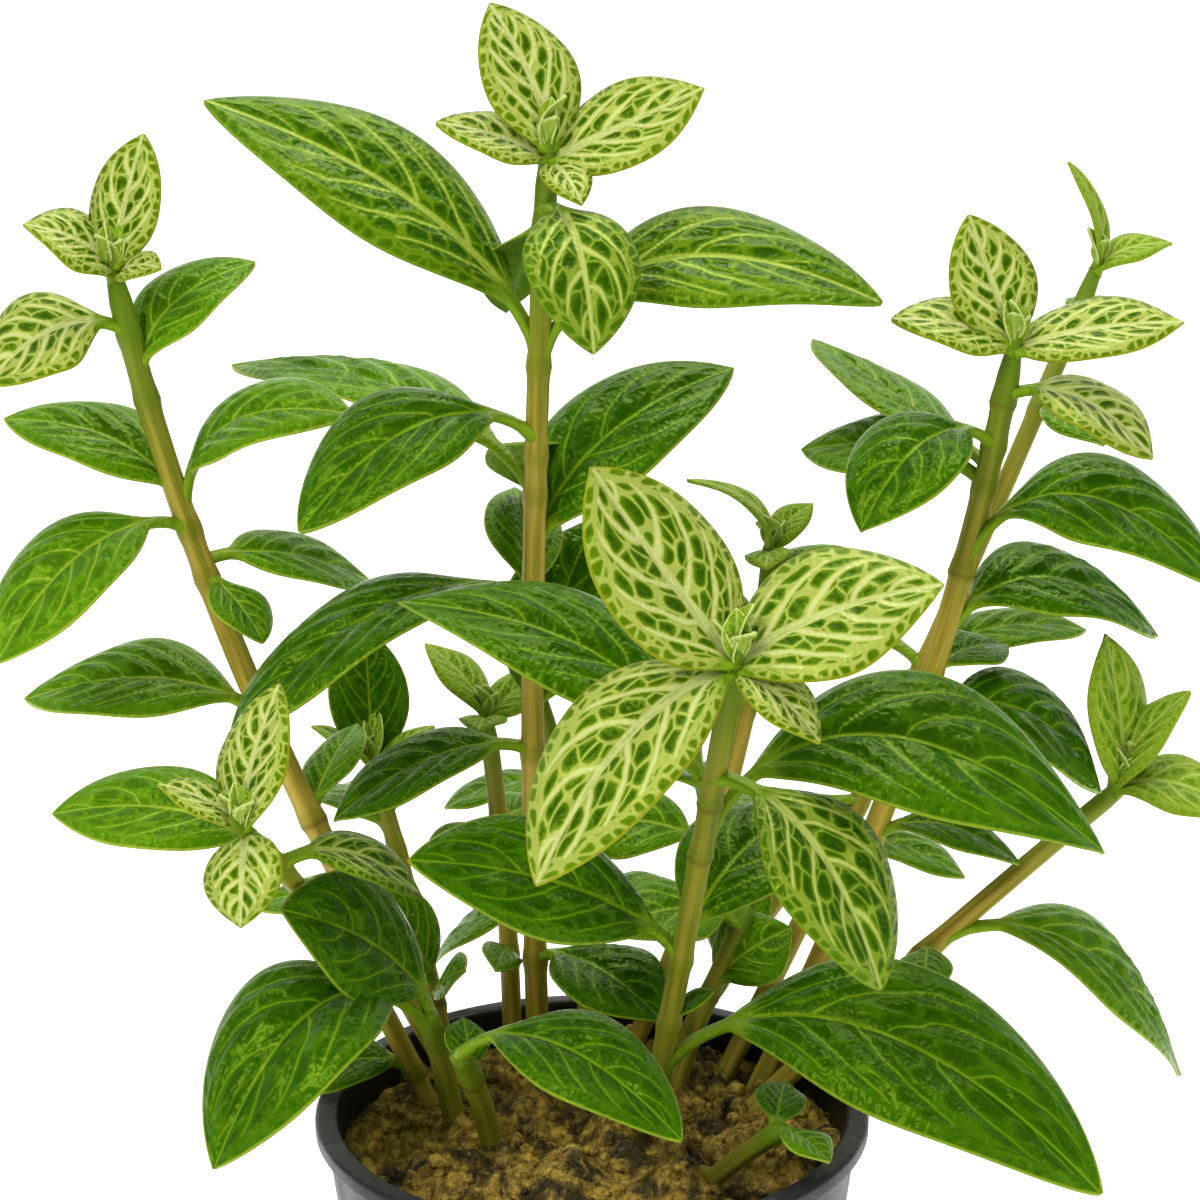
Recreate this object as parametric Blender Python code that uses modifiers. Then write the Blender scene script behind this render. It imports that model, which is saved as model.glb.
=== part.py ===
"""Potted hygrophila: a bushy water plant grown above water, in a small round plastic pot.

The plan below is in millimetres and degrees, and MM turns it into Blender's metres. The pot's
foot stands on z = 0 around the origin, and the photograph looks along +Y. An azimuth of 0 points
to the right, 90 away from the viewer and 270 toward them.
"""
import math
from collections import namedtuple

import bmesh
import bpy
import numpy as np
from mathutils import Vector, noise

MM = 0.001
GAP = 0.3                       # air left between two pieces that touch
COLLECTION = "potted_hygrophila"

# Pot: a plain tapered cup with a turned-out lip
RIM_DIAMETER = 54.0
POT_HEIGHT = 50.0
FOOT_DIAMETER = 40.0
LIP_HEIGHT = 1.8
LIP_OVERHANG = 1.2
WALL = 1.2
FLOOR = 1.5
POT_SIDES = 36
EDGE_ROUND = 0.6                # how far the lip's and the foot's edges are broken

# Substrate: a plug of rock wool, mounded in the middle
SOIL_SIDES = 24
SOIL_RINGS = 5
SOIL_EDGE = 45.6
SOIL_MOUND = 1.6                # extra height in the middle
SOIL_LUMP = 1.1                 # greatest rise or dip of its lumps
LUMP_SPACING = 6.0
HOLE_PLAY = 0.1                 # extra room round a stem in its hole
SURFACE_Z = 47.0                # stems run straight below this height
ROOT_Z = 38.0                   # lower end of every stem

# Leaves and stems
BLADE = 0.6                     # blade thickness
WIDE_LEAF = 12.5                # leaves from this width on are cut finest
NARROW_LEAF = 9.5               # and below this width coarsest
LEAST_HALF = 0.6                # half the width of a blade's foot
PETIOLE = 0.14                  # share of a leaf's chord taken by its petiole
PETIOLE_RADIUS = 0.75
RING_STEP = 12.0                # about this far apart along a stem
THICK_STEM = 1.12               # stems above this radius have eight sides, the others six
TAPER = 0.85                    # a stem's radius at its end, as a share
TIP_RADIUS = 0.45               # of the growing tip inside a crown
TIP_RISE = 2.2                  # how far that tip passes the highest young leaf
BENT_PETIOLE = 4.0              # an arch this high bends the petiole too
FOLD = 0.32                     # how steeply the two halves rise from the midrib
CURL = 0.30                     # how much the margins turn down again
CROWN_LIFT = 0.3                # air between a stem's end and the crown on it

Leaf = namedtuple("Leaf", "height azimuth rise length width bow roll")
Stem = namedtuple("Stem", "path radius leaves crown")

# Each stem: its path as three points, its radius, its leaves and the pale leaves of its crown.
# A leaf starts on the stem at its height; rise is the slope of the line from there to its tip,
# bow is how far the midrib arches above that line and roll turns the blade about it.
STEMS = {
    "main": Stem([(-5.6, 18, 47), (-5.8, 15, 95), (-4.2, 11, 138.4)], 1.15, [
        Leaf(136, 291, -42, 17, 11, 0.25, -5),
        Leaf(134.5, 114, -45, 14, 8, 0.10, 0),
        Leaf(121, 175, 38, 40, 14.5, 0.12, 35),
        Leaf(121, 355, 11, 33, 13.2, 0.235, -35),
        Leaf(113.5, 211, -13, 26, 13, 0.22, 22),
        Leaf(112, 95, -25, 17, 9, 0.12, 0),
        Leaf(108, 146, 12, 39, 12, 0.12, 5),
        Leaf(98, 27, 42, 30, 13.5, 0.19, -25),
        Leaf(97, 203, -19, 33, 14, 0.18, 6),
        Leaf(96, 98, 28, 18, 8, 0.10, -10),
        Leaf(81, 191, -17, 21, 10, 0.14, 15),
        Leaf(82, 60, 58, 24, 12, 0.10, -10),
        Leaf(65, 290, 5, 15, 9, 0.14, 10),
        Leaf(58, 320, -8, 17, 12, 0.14, -5),
    ], [
        Leaf(141.5, 145, 63, 14.8, 9.6, 0.085, 30),
        Leaf(140.5, 186, 20, 11, 7, 0.07, 30),
        Leaf(140.7, 356, 25, 16, 9.4, 0.00, -50),
        Leaf(140.2, 300, -24, 7, 4.8, 0.14, -10),
    ]),
    "front": Stem([(5.7, 2, 47), (9.6, -8, 76), (12.2, -18, 98)], 1.1, [
        Leaf(88.5, 325, -43, 24, 13, 0.17, -15),
        Leaf(86, 110, -15, 18, 10, 0.12, 0),
        Leaf(80, 172, 39, 36, 13.5, 0.24, 25),
        Leaf(80, 351, 3, 36.5, 16.5, 0.31, -30),
        Leaf(67, 200, 27, 30, 12.5, 0.10, 45),
        Leaf(67, 50, 28, 22, 12, 0.14, -15),
        Leaf(59.5, 347, 39, 5.6, 2.6, 0.10, -30),
        Leaf(53, 337, -5.3, 44.2, 17.2, 0.24, -30),
    ], [
        Leaf(101, 175, 54, 21.5, 14, -0.01, 45),
        Leaf(100, 0, 24, 19.8, 13.5, 0.09, -38),
        Leaf(100, 208, -40, 25.2, 13.2, 0.14, 25),
        Leaf(100, 325, -28, 10, 6.5, 0.12, -10),
    ]),
    "low_left": Stem([(-16.5, 6.5, 47), (-24.5, -1, 68), (-30.3, -11, 81)], 1.05, [
        Leaf(78, 171, 10, 22, 10.4, 0.15, 30),
        Leaf(78, 14, -18, 14, 7, 0.20, -20),
        Leaf(50.8, 188, -5, 12.5, 8.5, 0.16, 12),
    ], [
        Leaf(83.5, 54, 66, 13.6, 8, 0.08, 0),
        Leaf(83.2, 180, 30, 9, 5.5, 0.10, 15),
        Leaf(83, 269, -50, 9, 8, 0.12, -20),
    ]),
    "tall_left": Stem([(-13.5, 11, 47), (-33.5, 17, 86), (-45.5, 18, 126)], 1.25, [
        Leaf(123, 203, -16, 14.6, 11.5, 0.20, 30),
        Leaf(116.5, 26, 47, 17, 9, 0.24, -25),
        Leaf(104, 167, 26.5, 21, 11, 0.19, 20),
        Leaf(103.5, 341, 35, 22, 11, 0.28, -30),
        Leaf(103.5, 216, -26, 23.5, 13, 0.19, 15),
        Leaf(100, 29, -14, 19, 10, 0.10, -20),
        Leaf(98.5, 315, -30, 10, 7, 0.10, 5),
        Leaf(83.5, 173, 3.5, 25, 12.8, 0.15, 20),
        Leaf(74, 65, 35, 12, 7, 0.12, 15),
    ], [
        Leaf(129.3, 35, 73, 13.3, 8, 0.02, -30),
        Leaf(128.2, 198, 34, 10.3, 8.2, 0.14, 35),
        Leaf(128.3, 319, 15, 7, 4, 0.12, -40),
    ]),
    "tall_right": Stem([(17.3, 11.5, 47), (33, 17, 86), (40.4, 17, 119)], 1.25, [
        Leaf(116.8, 338, -18, 15.5, 11, 0.18, -12),
        Leaf(112, 216, -20, 18, 12, 0.26, 15),
        Leaf(110, 132, 20, 26, 10, 0.01, -5),
        Leaf(99.5, 341, 1, 25, 13.5, 0.33, -25),
        Leaf(108, 150, 3, 20, 10, 0.12, 30),
        Leaf(90.5, 10, 2, 23, 13, 0.32, -20),
        Leaf(88.5, 40, 5, 11, 7, 0.12, -15),
        Leaf(82, 2, -17, 20.5, 14.5, 0.30, -20),
        Leaf(71.5, 350, -6, 15, 7.5, 0.20, -10),
    ], [
        Leaf(122, 157, 68, 13.4, 9, 0.00, 50),
        Leaf(121.3, 185, 16, 12.5, 8.2, 0.10, 28),
        Leaf(121.3, 356, 11, 16.5, 9, 0.06, -30),
    ]),
    "back_right": Stem([(14, 15, 47), (37, 33, 90), (52, 44.5, 122)], 1.05, [
        Leaf(118, 51, 6, 13, 8, 0.12, -5),
        Leaf(111, 300, -12, 11, 8, 0.12, -5),
        Leaf(85, 10, 10, 18, 9, 0.14, -10),
        Leaf(85, 150, 5, 18, 9, 0.14, 0),
        Leaf(72, 200, -25, 13, 9, 0.16, 10),
    ], [
        Leaf(124.8, 161, 72, 11.5, 3.6, 0.14, 15),
        Leaf(124.2, 0, 21, 8.6, 5, 0.14, -25),
    ]),
    "low_right": Stem([(16.7, 6.5, 47), (36.5, 14.5, 62.5), (52.5, 20, 74.5)], 1.1, [
        Leaf(61.5, 9, -33, 31.2, 13.5, 0.21, -20),
        Leaf(60.5, 262, -8, 9, 5.5, 0.12, 0),
    ], [
        Leaf(75.6, 140, 80, 16, 9, 0.04, 10),
        Leaf(75, 5, 55, 13, 6.5, 0.10, -20),
        Leaf(75, 345, -8, 13.5, 9, 0.18, -20),
    ]),
    "back_left": Stem([(-8.3, 18.8, 47), (-9, 22, 63), (-10.6, 25, 79)], 1.0, [
        Leaf(70.5, 222, -22, 10, 7, 0.12, 10),
        Leaf(70.5, 52, -8, 8.5, 6, 0.12, -25),
        Leaf(57, 263, 12, 9, 4.4, 0.12, 25),
    ], [
        Leaf(81.5, 150, 42, 10, 6, 0.10, 5),
        Leaf(81, 20, 30, 9, 6, 0.10, -20),
        Leaf(81, 265, 10, 7, 5, 0.10, 0),
    ]),
    "back_mid": Stem([(4, 19, 47), (14.5, 28, 74), (18.5, 35.5, 94.5)], 1.0, [
        Leaf(88, 149, 20, 9, 5, 0.20, 0),
        Leaf(88.5, 27, 34, 13, 8, 0.16, -20),
        Leaf(81, 126, 30, 17, 9, 0.14, -10),
        Leaf(66.5, 172, 5, 16, 11, 0.16, 25),
    ], [
        Leaf(95.5, 168, 42, 12, 5, 0.26, 0),
        Leaf(96.2, 30, 40, 7, 4.5, 0.12, -20),
        Leaf(96, 263, 0, 6, 5, 0.12, -10),
    ]),
    "short_left": Stem([(-13.5, 2, 47), (-14.5, 1, 53), (-15.8, -1, 60)], 1.15, [
        Leaf(58.5, 219, 44, 23.5, 12.5, 0.12, 60),
        Leaf(57, 221, -12, 26.4, 16.6, 0.38, 10),
    ], []),
    "short_front": Stem([(-9.8, -2, 47), (-10.8, -5, 53), (-12.5, -9, 59.5)], 1.15, [
        Leaf(59, 325, -4, 25, 11, 0.20, -15),
        Leaf(56, 100, 35, 6.5, 4.5, 0.14, -10),
    ], []),
    "short_right": Stem([(12, -9, 47), (15, -10, 50), (18.5, -11, 53)], 1.0, [
        Leaf(52.2, 315, -8, 6.5, 6, 0.14, 10),
        Leaf(52, 80, 12, 8, 5, 0.10, -10),
    ], []),
    "middle": Stem([(8.5, 10.5, 47), (12, 13.5, 56), (16, 17, 64)], 1.0, [
        Leaf(62, 210, 10, 16, 10, 0.14, 20),
        Leaf(62, 120, 10, 6, 4.5, 0.14, 0),
        Leaf(56, 15, 35, 10.5, 9, 0.10, -35),
    ], []),
    "rear_mid": Stem([(-0.5, 18, 47), (-1.5, 31, 60), (-5, 46, 74)], 1.0, [
        Leaf(68, 60, 10, 18, 10, 0.16, 0),
        Leaf(68, 187, -5, 13, 9, 0.16, 0),
        Leaf(59, 170, -28, 19, 12, 0.16, 0),
        Leaf(59, 5, -5, 14, 9, 0.16, 0),
    ], [
        Leaf(76.5, 100, 40, 13, 8, 0.10, 0),
        Leaf(76, 185, 45, 17, 9, 0.10, 0),
        Leaf(76, 330, 20, 11, 7, 0.10, 0),
    ]),
    "rear_left": Stem([(-14.7, 14.8, 47), (-17.2, 20.2, 56), (-22.5, 32, 71)], 1.0, [
        Leaf(66, 120, 0, 20, 10, 0.16, 0),
        Leaf(59, 170, 5, 18, 9, 0.16, 10),
        Leaf(54, 155, 55, 12.5, 7.5, 0.10, 30),
        Leaf(53, 300, 40, 9, 5.5, 0.10, -50),
    ], [
        Leaf(73.5, 100, 66, 14.5, 9, 0.06, -10),
        Leaf(73, 180, 35, 8, 5, 0.10, 0),
        Leaf(73, 0, 35, 8, 5, 0.10, 0),
    ]),
    "rear_right": Stem([(8.5, 16.5, 47), (17, 25, 58), (32, 43, 69)], 1.0, [
        Leaf(64, 130, 0, 18, 10, 0.16, 0),
        Leaf(64, 340, -5, 16, 9, 0.14, 0),
        Leaf(54, 45, 58, 13, 8, 0.10, 0),
    ], [
        Leaf(70.5, 70, 40, 12, 7.5, 0.10, 0),
        Leaf(70, 190, 30, 10, 6.5, 0.10, 0),
        Leaf(70, 320, 20, 10, 6.5, 0.10, 0),
    ]),
}


def millimetres(value):
    return value * MM


def stem_point(stem, height):
    """Centre of a stem at a height: a smooth arc through its path, straight below the surface."""
    path = np.array(stem.path, float)
    level = max(height, SURFACE_Z)
    point = np.empty(3)
    for axis in (0, 1):
        curve = np.polyfit(path[:, 2], path[:, axis], 2)
        slope = np.polyval(np.polyder(curve), level)
        point[axis] = np.polyval(curve, level) + slope * (height - level)
    point[2] = height
    return point


def leaf_axes(leaf):
    """Unit vectors of a leaf: along its chord, across its blade, and upward from the chord."""
    azimuth, rise, roll = (math.radians(angle) for angle in (leaf.azimuth, leaf.rise, leaf.roll))
    along = np.array([math.cos(rise) * math.cos(azimuth),
                      math.cos(rise) * math.sin(azimuth),
                      math.sin(rise)])
    level_side = np.array([math.sin(azimuth), -math.cos(azimuth), 0.0])
    upward = np.cross(level_side, along)
    side = math.cos(roll) * level_side + math.sin(roll) * upward
    return along, side, upward


def midrib_point(leaf, base, share):
    """Point of the arched midrib at a share of the chord, 0 on the stem and 1 at the tip."""
    along, _, upward = leaf_axes(leaf)
    late = max(share, 0.0) ** 0.8
    arch = 4 * late * (1 - late) * leaf.bow
    return base + leaf.length * (share * along + arch * upward)


def half_width(leaf, share, young):
    """Half the blade's width at a share of its length: an egg shape drawn out to a tip."""
    rear, front = (0.78, 0.88) if young else (0.82, 0.86)
    peak = rear / (rear + front)
    shape = share ** rear * (1 - share) ** front
    shape /= peak ** rear * (1 - peak) ** front
    return leaf.width / 2 * shape


def blade_point(leaf, base, share, across, young=False, petiole=PETIOLE):
    """Point of the blade's middle surface; across runs from -1 to 1 between its margins."""
    chord_share = petiole + (1 - petiole) * share
    point = midrib_point(leaf, base, chord_share)
    step = midrib_point(leaf, base, chord_share + 0.01) - midrib_point(leaf, base, chord_share - 0.01)
    tangent = step / np.linalg.norm(step)
    _, side, _ = leaf_axes(leaf)
    side = side - side.dot(tangent) * tangent
    side /= np.linalg.norm(side)
    face = np.cross(side, tangent)
    least = LEAST_HALF * (1 - 0.5 * share)
    half = max(half_width(leaf, share, young), least)
    lift = half * (FOLD * abs(across) - CURL * across ** 2)
    return point + half * across * side + lift * face


def new_object(name, mesh, material=None):
    item = bpy.data.objects.new(name, mesh)
    bpy.data.collections[COLLECTION].objects.link(item)
    if material:
        item.data.materials.append(material)
    return item


def new_material(name, colour, roughness):
    material = bpy.data.materials.new(name)
    material.use_nodes = True
    shader = material.node_tree.nodes["Principled BSDF"]
    shader.inputs["Base Color"].default_value = (*colour, 1.0)
    shader.inputs["Roughness"].default_value = roughness
    shader.inputs["Metallic"].default_value = 0.0
    return material


def apply_modifiers(item):
    """Replace an object's data with the mesh that its modifiers or its curve give."""
    graph = bpy.context.evaluated_depsgraph_get()
    mesh = bpy.data.meshes.new_from_object(item.evaluated_get(graph))
    mesh.name = item.name
    name, materials = item.name, list(item.data.materials)
    bpy.data.objects.remove(item)
    made = new_object(name, mesh)
    made.data.materials.clear()
    for material in materials:
        made.data.materials.append(material)
    return made


def join_collection(base, pieces, operation):
    """One Boolean of a whole collection with the base object; the pieces are then removed."""
    group = bpy.data.collections.new(base.name + "_pieces")
    bpy.context.scene.collection.children.link(group)
    for piece in pieces:
        bpy.data.collections[COLLECTION].objects.unlink(piece)
        group.objects.link(piece)
    modifier = base.modifiers.new("join", "BOOLEAN")
    modifier.operation = operation
    modifier.operand_type = "COLLECTION"
    modifier.collection = group
    modifier.solver = "EXACT"
    made = apply_modifiers(base)
    for piece in pieces:
        bpy.data.objects.remove(piece)
    bpy.data.collections.remove(group)
    return made


def tube(name, points, radii, resolution, material=None):
    """A capped tube through the points, a bevelled curve made a mesh: 4, 6 or 8 sides for 0, 1, 2."""
    curve = bpy.data.curves.new(name, "CURVE")
    curve.dimensions = "3D"
    curve.bevel_depth = 1.0
    curve.bevel_resolution = resolution
    curve.use_fill_caps = True
    spline = curve.splines.new("POLY")
    spline.points.add(len(points) - 1)
    for spot, point, radius in zip(spline.points, points, radii):
        spot.co = (*(millimetres(value) for value in point), 1.0)
        spot.radius = millimetres(radius)
    return apply_modifiers(new_object(name, curve, material))


def blade(name, leaf, base, rows, columns, young, petiole):
    """A leaf blade: a grid bent to the leaf's form, cut into triangles and given its thickness."""
    grid = bmesh.new()
    bmesh.ops.create_grid(grid, x_segments=rows, y_segments=columns, size=0.5)
    for vertex in grid.verts:
        share, across = vertex.co.x + 0.5, 2 * vertex.co.y
        place = blade_point(leaf, base, share, across, young, petiole)
        vertex.co = Vector(place) * MM
    bmesh.ops.triangulate(grid, faces=grid.faces)
    mesh = bpy.data.meshes.new(name)
    grid.to_mesh(mesh)
    grid.free()
    item = new_object(name, mesh)
    solid = item.modifiers.new("thickness", "SOLIDIFY")
    solid.thickness = millimetres(BLADE)
    solid.offset = 0.0
    return apply_modifiers(item)


def leaf_pieces(name, leaf, base, young=False):
    """The petiole and blade of one leaf, starting inside the stem; a young leaf is all blade."""
    if leaf.width >= WIDE_LEAF:
        rows, columns = 7, 4
    elif leaf.width >= NARROW_LEAF:
        rows, columns = 5, 2
    else:
        rows, columns = 4, 2
    if young:
        return [blade(name, leaf, base, rows, columns, young, 0.0)]
    radius = min(PETIOLE_RADIUS, leaf.width * 0.12 + 0.2)
    bent = leaf.bow * leaf.length > BENT_PETIOLE
    shares = [0.0, PETIOLE * 0.5, PETIOLE + 0.06] if bent else [0.0, PETIOLE + 0.06]
    points = [midrib_point(leaf, base, share) for share in shares]
    radii = [radius * 1.15] + [radius] * (len(shares) - 2) + [radius * 0.8]
    return [tube(name + "_petiole", points, radii, 0),
            blade(name, leaf, base, rows, columns, young, PETIOLE)]


def make_pot(material):
    """The pot: one profile turned about the middle axis."""
    rim, foot, top = RIM_DIAMETER / 2, FOOT_DIAMETER / 2, POT_HEIGHT
    body, inner = rim - LIP_OVERHANG, rim - LIP_OVERHANG - WALL
    lip = top - LIP_HEIGHT
    profile = [
        (0, 0), (foot - EDGE_ROUND, 0), (foot, EDGE_ROUND),
        (body, lip), (rim - EDGE_ROUND, lip), (rim, lip + EDGE_ROUND),
        (rim, top - EDGE_ROUND), (rim - EDGE_ROUND, top),
        (inner + EDGE_ROUND, top), (inner, top - EDGE_ROUND),
        (foot - WALL, FLOOR), (0, FLOOR),
    ]
    return turned("pot", profile, POT_SIDES, material)


def turned(name, profile, sides, material):
    """Turn a profile of (radius, height) pairs about the Z axis with a Screw modifier."""
    mesh = bpy.data.meshes.new(name)
    points = [(millimetres(radius), 0.0, millimetres(height)) for radius, height in profile]
    edges = [(index, index + 1) for index in range(len(points) - 1)]
    mesh.from_pydata(points, edges, [])
    item = new_object(name, mesh, material)
    screw = item.modifiers.new("turn", "SCREW")
    screw.steps = sides
    screw.render_steps = sides
    screw.use_merge_vertices = True
    screw.merge_threshold = 0.00001
    made = apply_modifiers(item)
    shell = bmesh.new()
    shell.from_mesh(made.data)
    bmesh.ops.recalc_face_normals(shell, faces=shell.faces)
    shell.to_mesh(made.data)
    shell.free()
    return made


def inner_radius(height):
    """Radius of the pot's inside at a height."""
    low, high = FOOT_DIAMETER / 2 - WALL, RIM_DIAMETER / 2 - LIP_OVERHANG - WALL
    return low + (high - low) * (height - FLOOR) / (POT_HEIGHT - FLOOR)


def make_substrate(material):
    """Rock wool: a turned plug whose rings on top are lifted and dipped into lumps."""
    floor = FLOOR + GAP
    foot = inner_radius(floor) - GAP
    edge = inner_radius(SOIL_EDGE) - GAP
    profile = [(0, floor), (foot, floor)]
    for ring in range(SOIL_RINGS + 1):
        share = 1 - ring / SOIL_RINGS
        profile.append((edge * share, SOIL_EDGE + SOIL_MOUND * (1 - share ** 2)))
    plug = turned("substrate", profile, SOIL_SIDES, material)
    for vertex in plug.data.vertices:
        radius = math.hypot(vertex.co.x, vertex.co.y) / MM
        if vertex.co.z / MM > SOIL_EDGE - 1 and radius < edge - 0.5:
            lump = noise.noise(vertex.co / millimetres(LUMP_SPACING))
            vertex.co.z += millimetres(2 * SOIL_LUMP * lump)
    holes = []
    for key, stem in STEMS.items():
        low, high = ROOT_Z - GAP, SURFACE_Z + 6
        foot_point, surface_point = stem_point(stem, low), stem_point(stem, SURFACE_Z)
        slope = (surface_point - foot_point) / (SURFACE_Z - low)
        points = [foot_point, foot_point + slope * (high - low)]
        reach = stem.radius + GAP + HOLE_PLAY
        holes.append(tube("hole_" + key, points, [reach, reach], 1))
    return join_collection(plug, holes, "DIFFERENCE")


def stem_heights(stem):
    """Heights of a stem's rings, from its root to its end."""
    end = stem.path[2][2]
    steps = max(2, round((end - SURFACE_Z) / RING_STEP))
    above = [SURFACE_Z + (end - SURFACE_Z) * step / steps for step in range(steps + 1)]
    return [ROOT_Z] + above


def make_leafy_stem(key, stem, material):
    """A stem with the leaves on it, as one solid."""
    heights = stem_heights(stem)
    points = [stem_point(stem, height) for height in heights]
    radii = [stem.radius] * (len(points) - 1) + [stem.radius * TAPER]
    resolution = 2 if stem.radius > THICK_STEM else 1
    base = tube("stem_" + key, points, radii, resolution, material)
    pieces = []
    for index, leaf in enumerate(stem.leaves):
        root = stem_point(stem, leaf.height)
        pieces += leaf_pieces("leaf_%s_%d" % (key, index), leaf, root)
    return join_collection(base, pieces, "UNION")


def make_crown(key, stem, material):
    """The pale young leaves at a stem's end, as one solid on a short growing tip."""
    end = stem.path[2][2] + CROWN_LIFT
    top = max(leaf.height for leaf in stem.crown) + TIP_RISE
    points = [stem_point(stem, height) for height in (end, (end + top) / 2, top)]
    radii = [stem.radius * TAPER, stem.radius * TAPER, TIP_RADIUS]
    base = tube("crown_" + key, points, radii, 1, material)
    pieces = []
    for index, leaf in enumerate(stem.crown):
        root = stem_point(stem, leaf.height)
        pieces += leaf_pieces("young_%s_%d" % (key, index), leaf, root, young=True)
    return join_collection(base, pieces, "UNION")


def main():
    for item in list(bpy.data.objects):
        bpy.data.objects.remove(item)
    bpy.context.scene.collection.children.link(bpy.data.collections.new(COLLECTION))
    make_pot(new_material("pot_plastic", (0.012, 0.012, 0.014), 0.45))
    make_substrate(new_material("rock_wool", (0.13, 0.075, 0.022), 0.95))
    green = new_material("green_leaf", (0.028, 0.14, 0.012), 0.4)
    pale = new_material("pale_leaf", (0.30, 0.42, 0.08), 0.45)
    for key, stem in STEMS.items():
        make_leafy_stem(key, stem, green)
        if stem.crown:
            make_crown(key, stem, pale)


if __name__ == "__main__":
    main()
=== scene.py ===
import math
from collections import namedtuple

import bpy
import numpy as np
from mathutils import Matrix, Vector, noise


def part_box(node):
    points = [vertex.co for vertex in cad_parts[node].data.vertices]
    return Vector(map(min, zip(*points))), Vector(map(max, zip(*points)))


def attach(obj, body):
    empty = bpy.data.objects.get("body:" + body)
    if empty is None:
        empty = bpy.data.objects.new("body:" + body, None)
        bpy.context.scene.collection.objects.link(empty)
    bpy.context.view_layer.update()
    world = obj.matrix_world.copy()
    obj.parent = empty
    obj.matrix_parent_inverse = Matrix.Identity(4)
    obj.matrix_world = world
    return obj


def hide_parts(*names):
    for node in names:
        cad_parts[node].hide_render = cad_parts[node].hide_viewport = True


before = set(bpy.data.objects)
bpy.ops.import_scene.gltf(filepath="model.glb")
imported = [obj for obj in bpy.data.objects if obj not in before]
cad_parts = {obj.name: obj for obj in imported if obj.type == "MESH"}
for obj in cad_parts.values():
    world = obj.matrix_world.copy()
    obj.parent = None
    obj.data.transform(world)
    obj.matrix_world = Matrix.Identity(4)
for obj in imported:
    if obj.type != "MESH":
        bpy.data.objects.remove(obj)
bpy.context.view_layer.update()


# The pot
# A small round cup moulded in charcoal plastic, with a turned-out lip. The wool and the stems stand in
# it. Its satin skin has the faint grain of the mould, and the wall is rubbed a little along the lip.

MM = 0.001
_, POT_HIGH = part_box("pot")
RIM = POT_HIGH.x
LIP_HEIGHT = 1.7 * MM
LIP_OVERHANG = 1.1 * MM
POT_WALL = 1.1 * MM
POT_FLOOR = 1.5 * MM
FOOT = 20.0 * MM
EDGE_ROUND = 0.5 * MM
POT_SIDES = 160
MOULD_GRAIN = 0.35 * MM
HAZE_SIZE = 7 * MM
SCUFF_SIZE = 1.2 * MM
SCUFF_LENGTHS = (1, 1, 0.2)
WORN_BAND = 6 * MM
CHARCOAL = (33, 31, 35)
HAZE = (24, 23, 26)
RUBBED = (84, 80, 86)


def paint(colour):
    """A colour given from 0 to 255, as the shader's linear one."""
    shares = [part / 255 for part in colour]
    return (*(s / 12.92 if s <= 0.04045 else ((s + 0.055) / 1.055) ** 2.4 for s in shares), 1.0)


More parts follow.
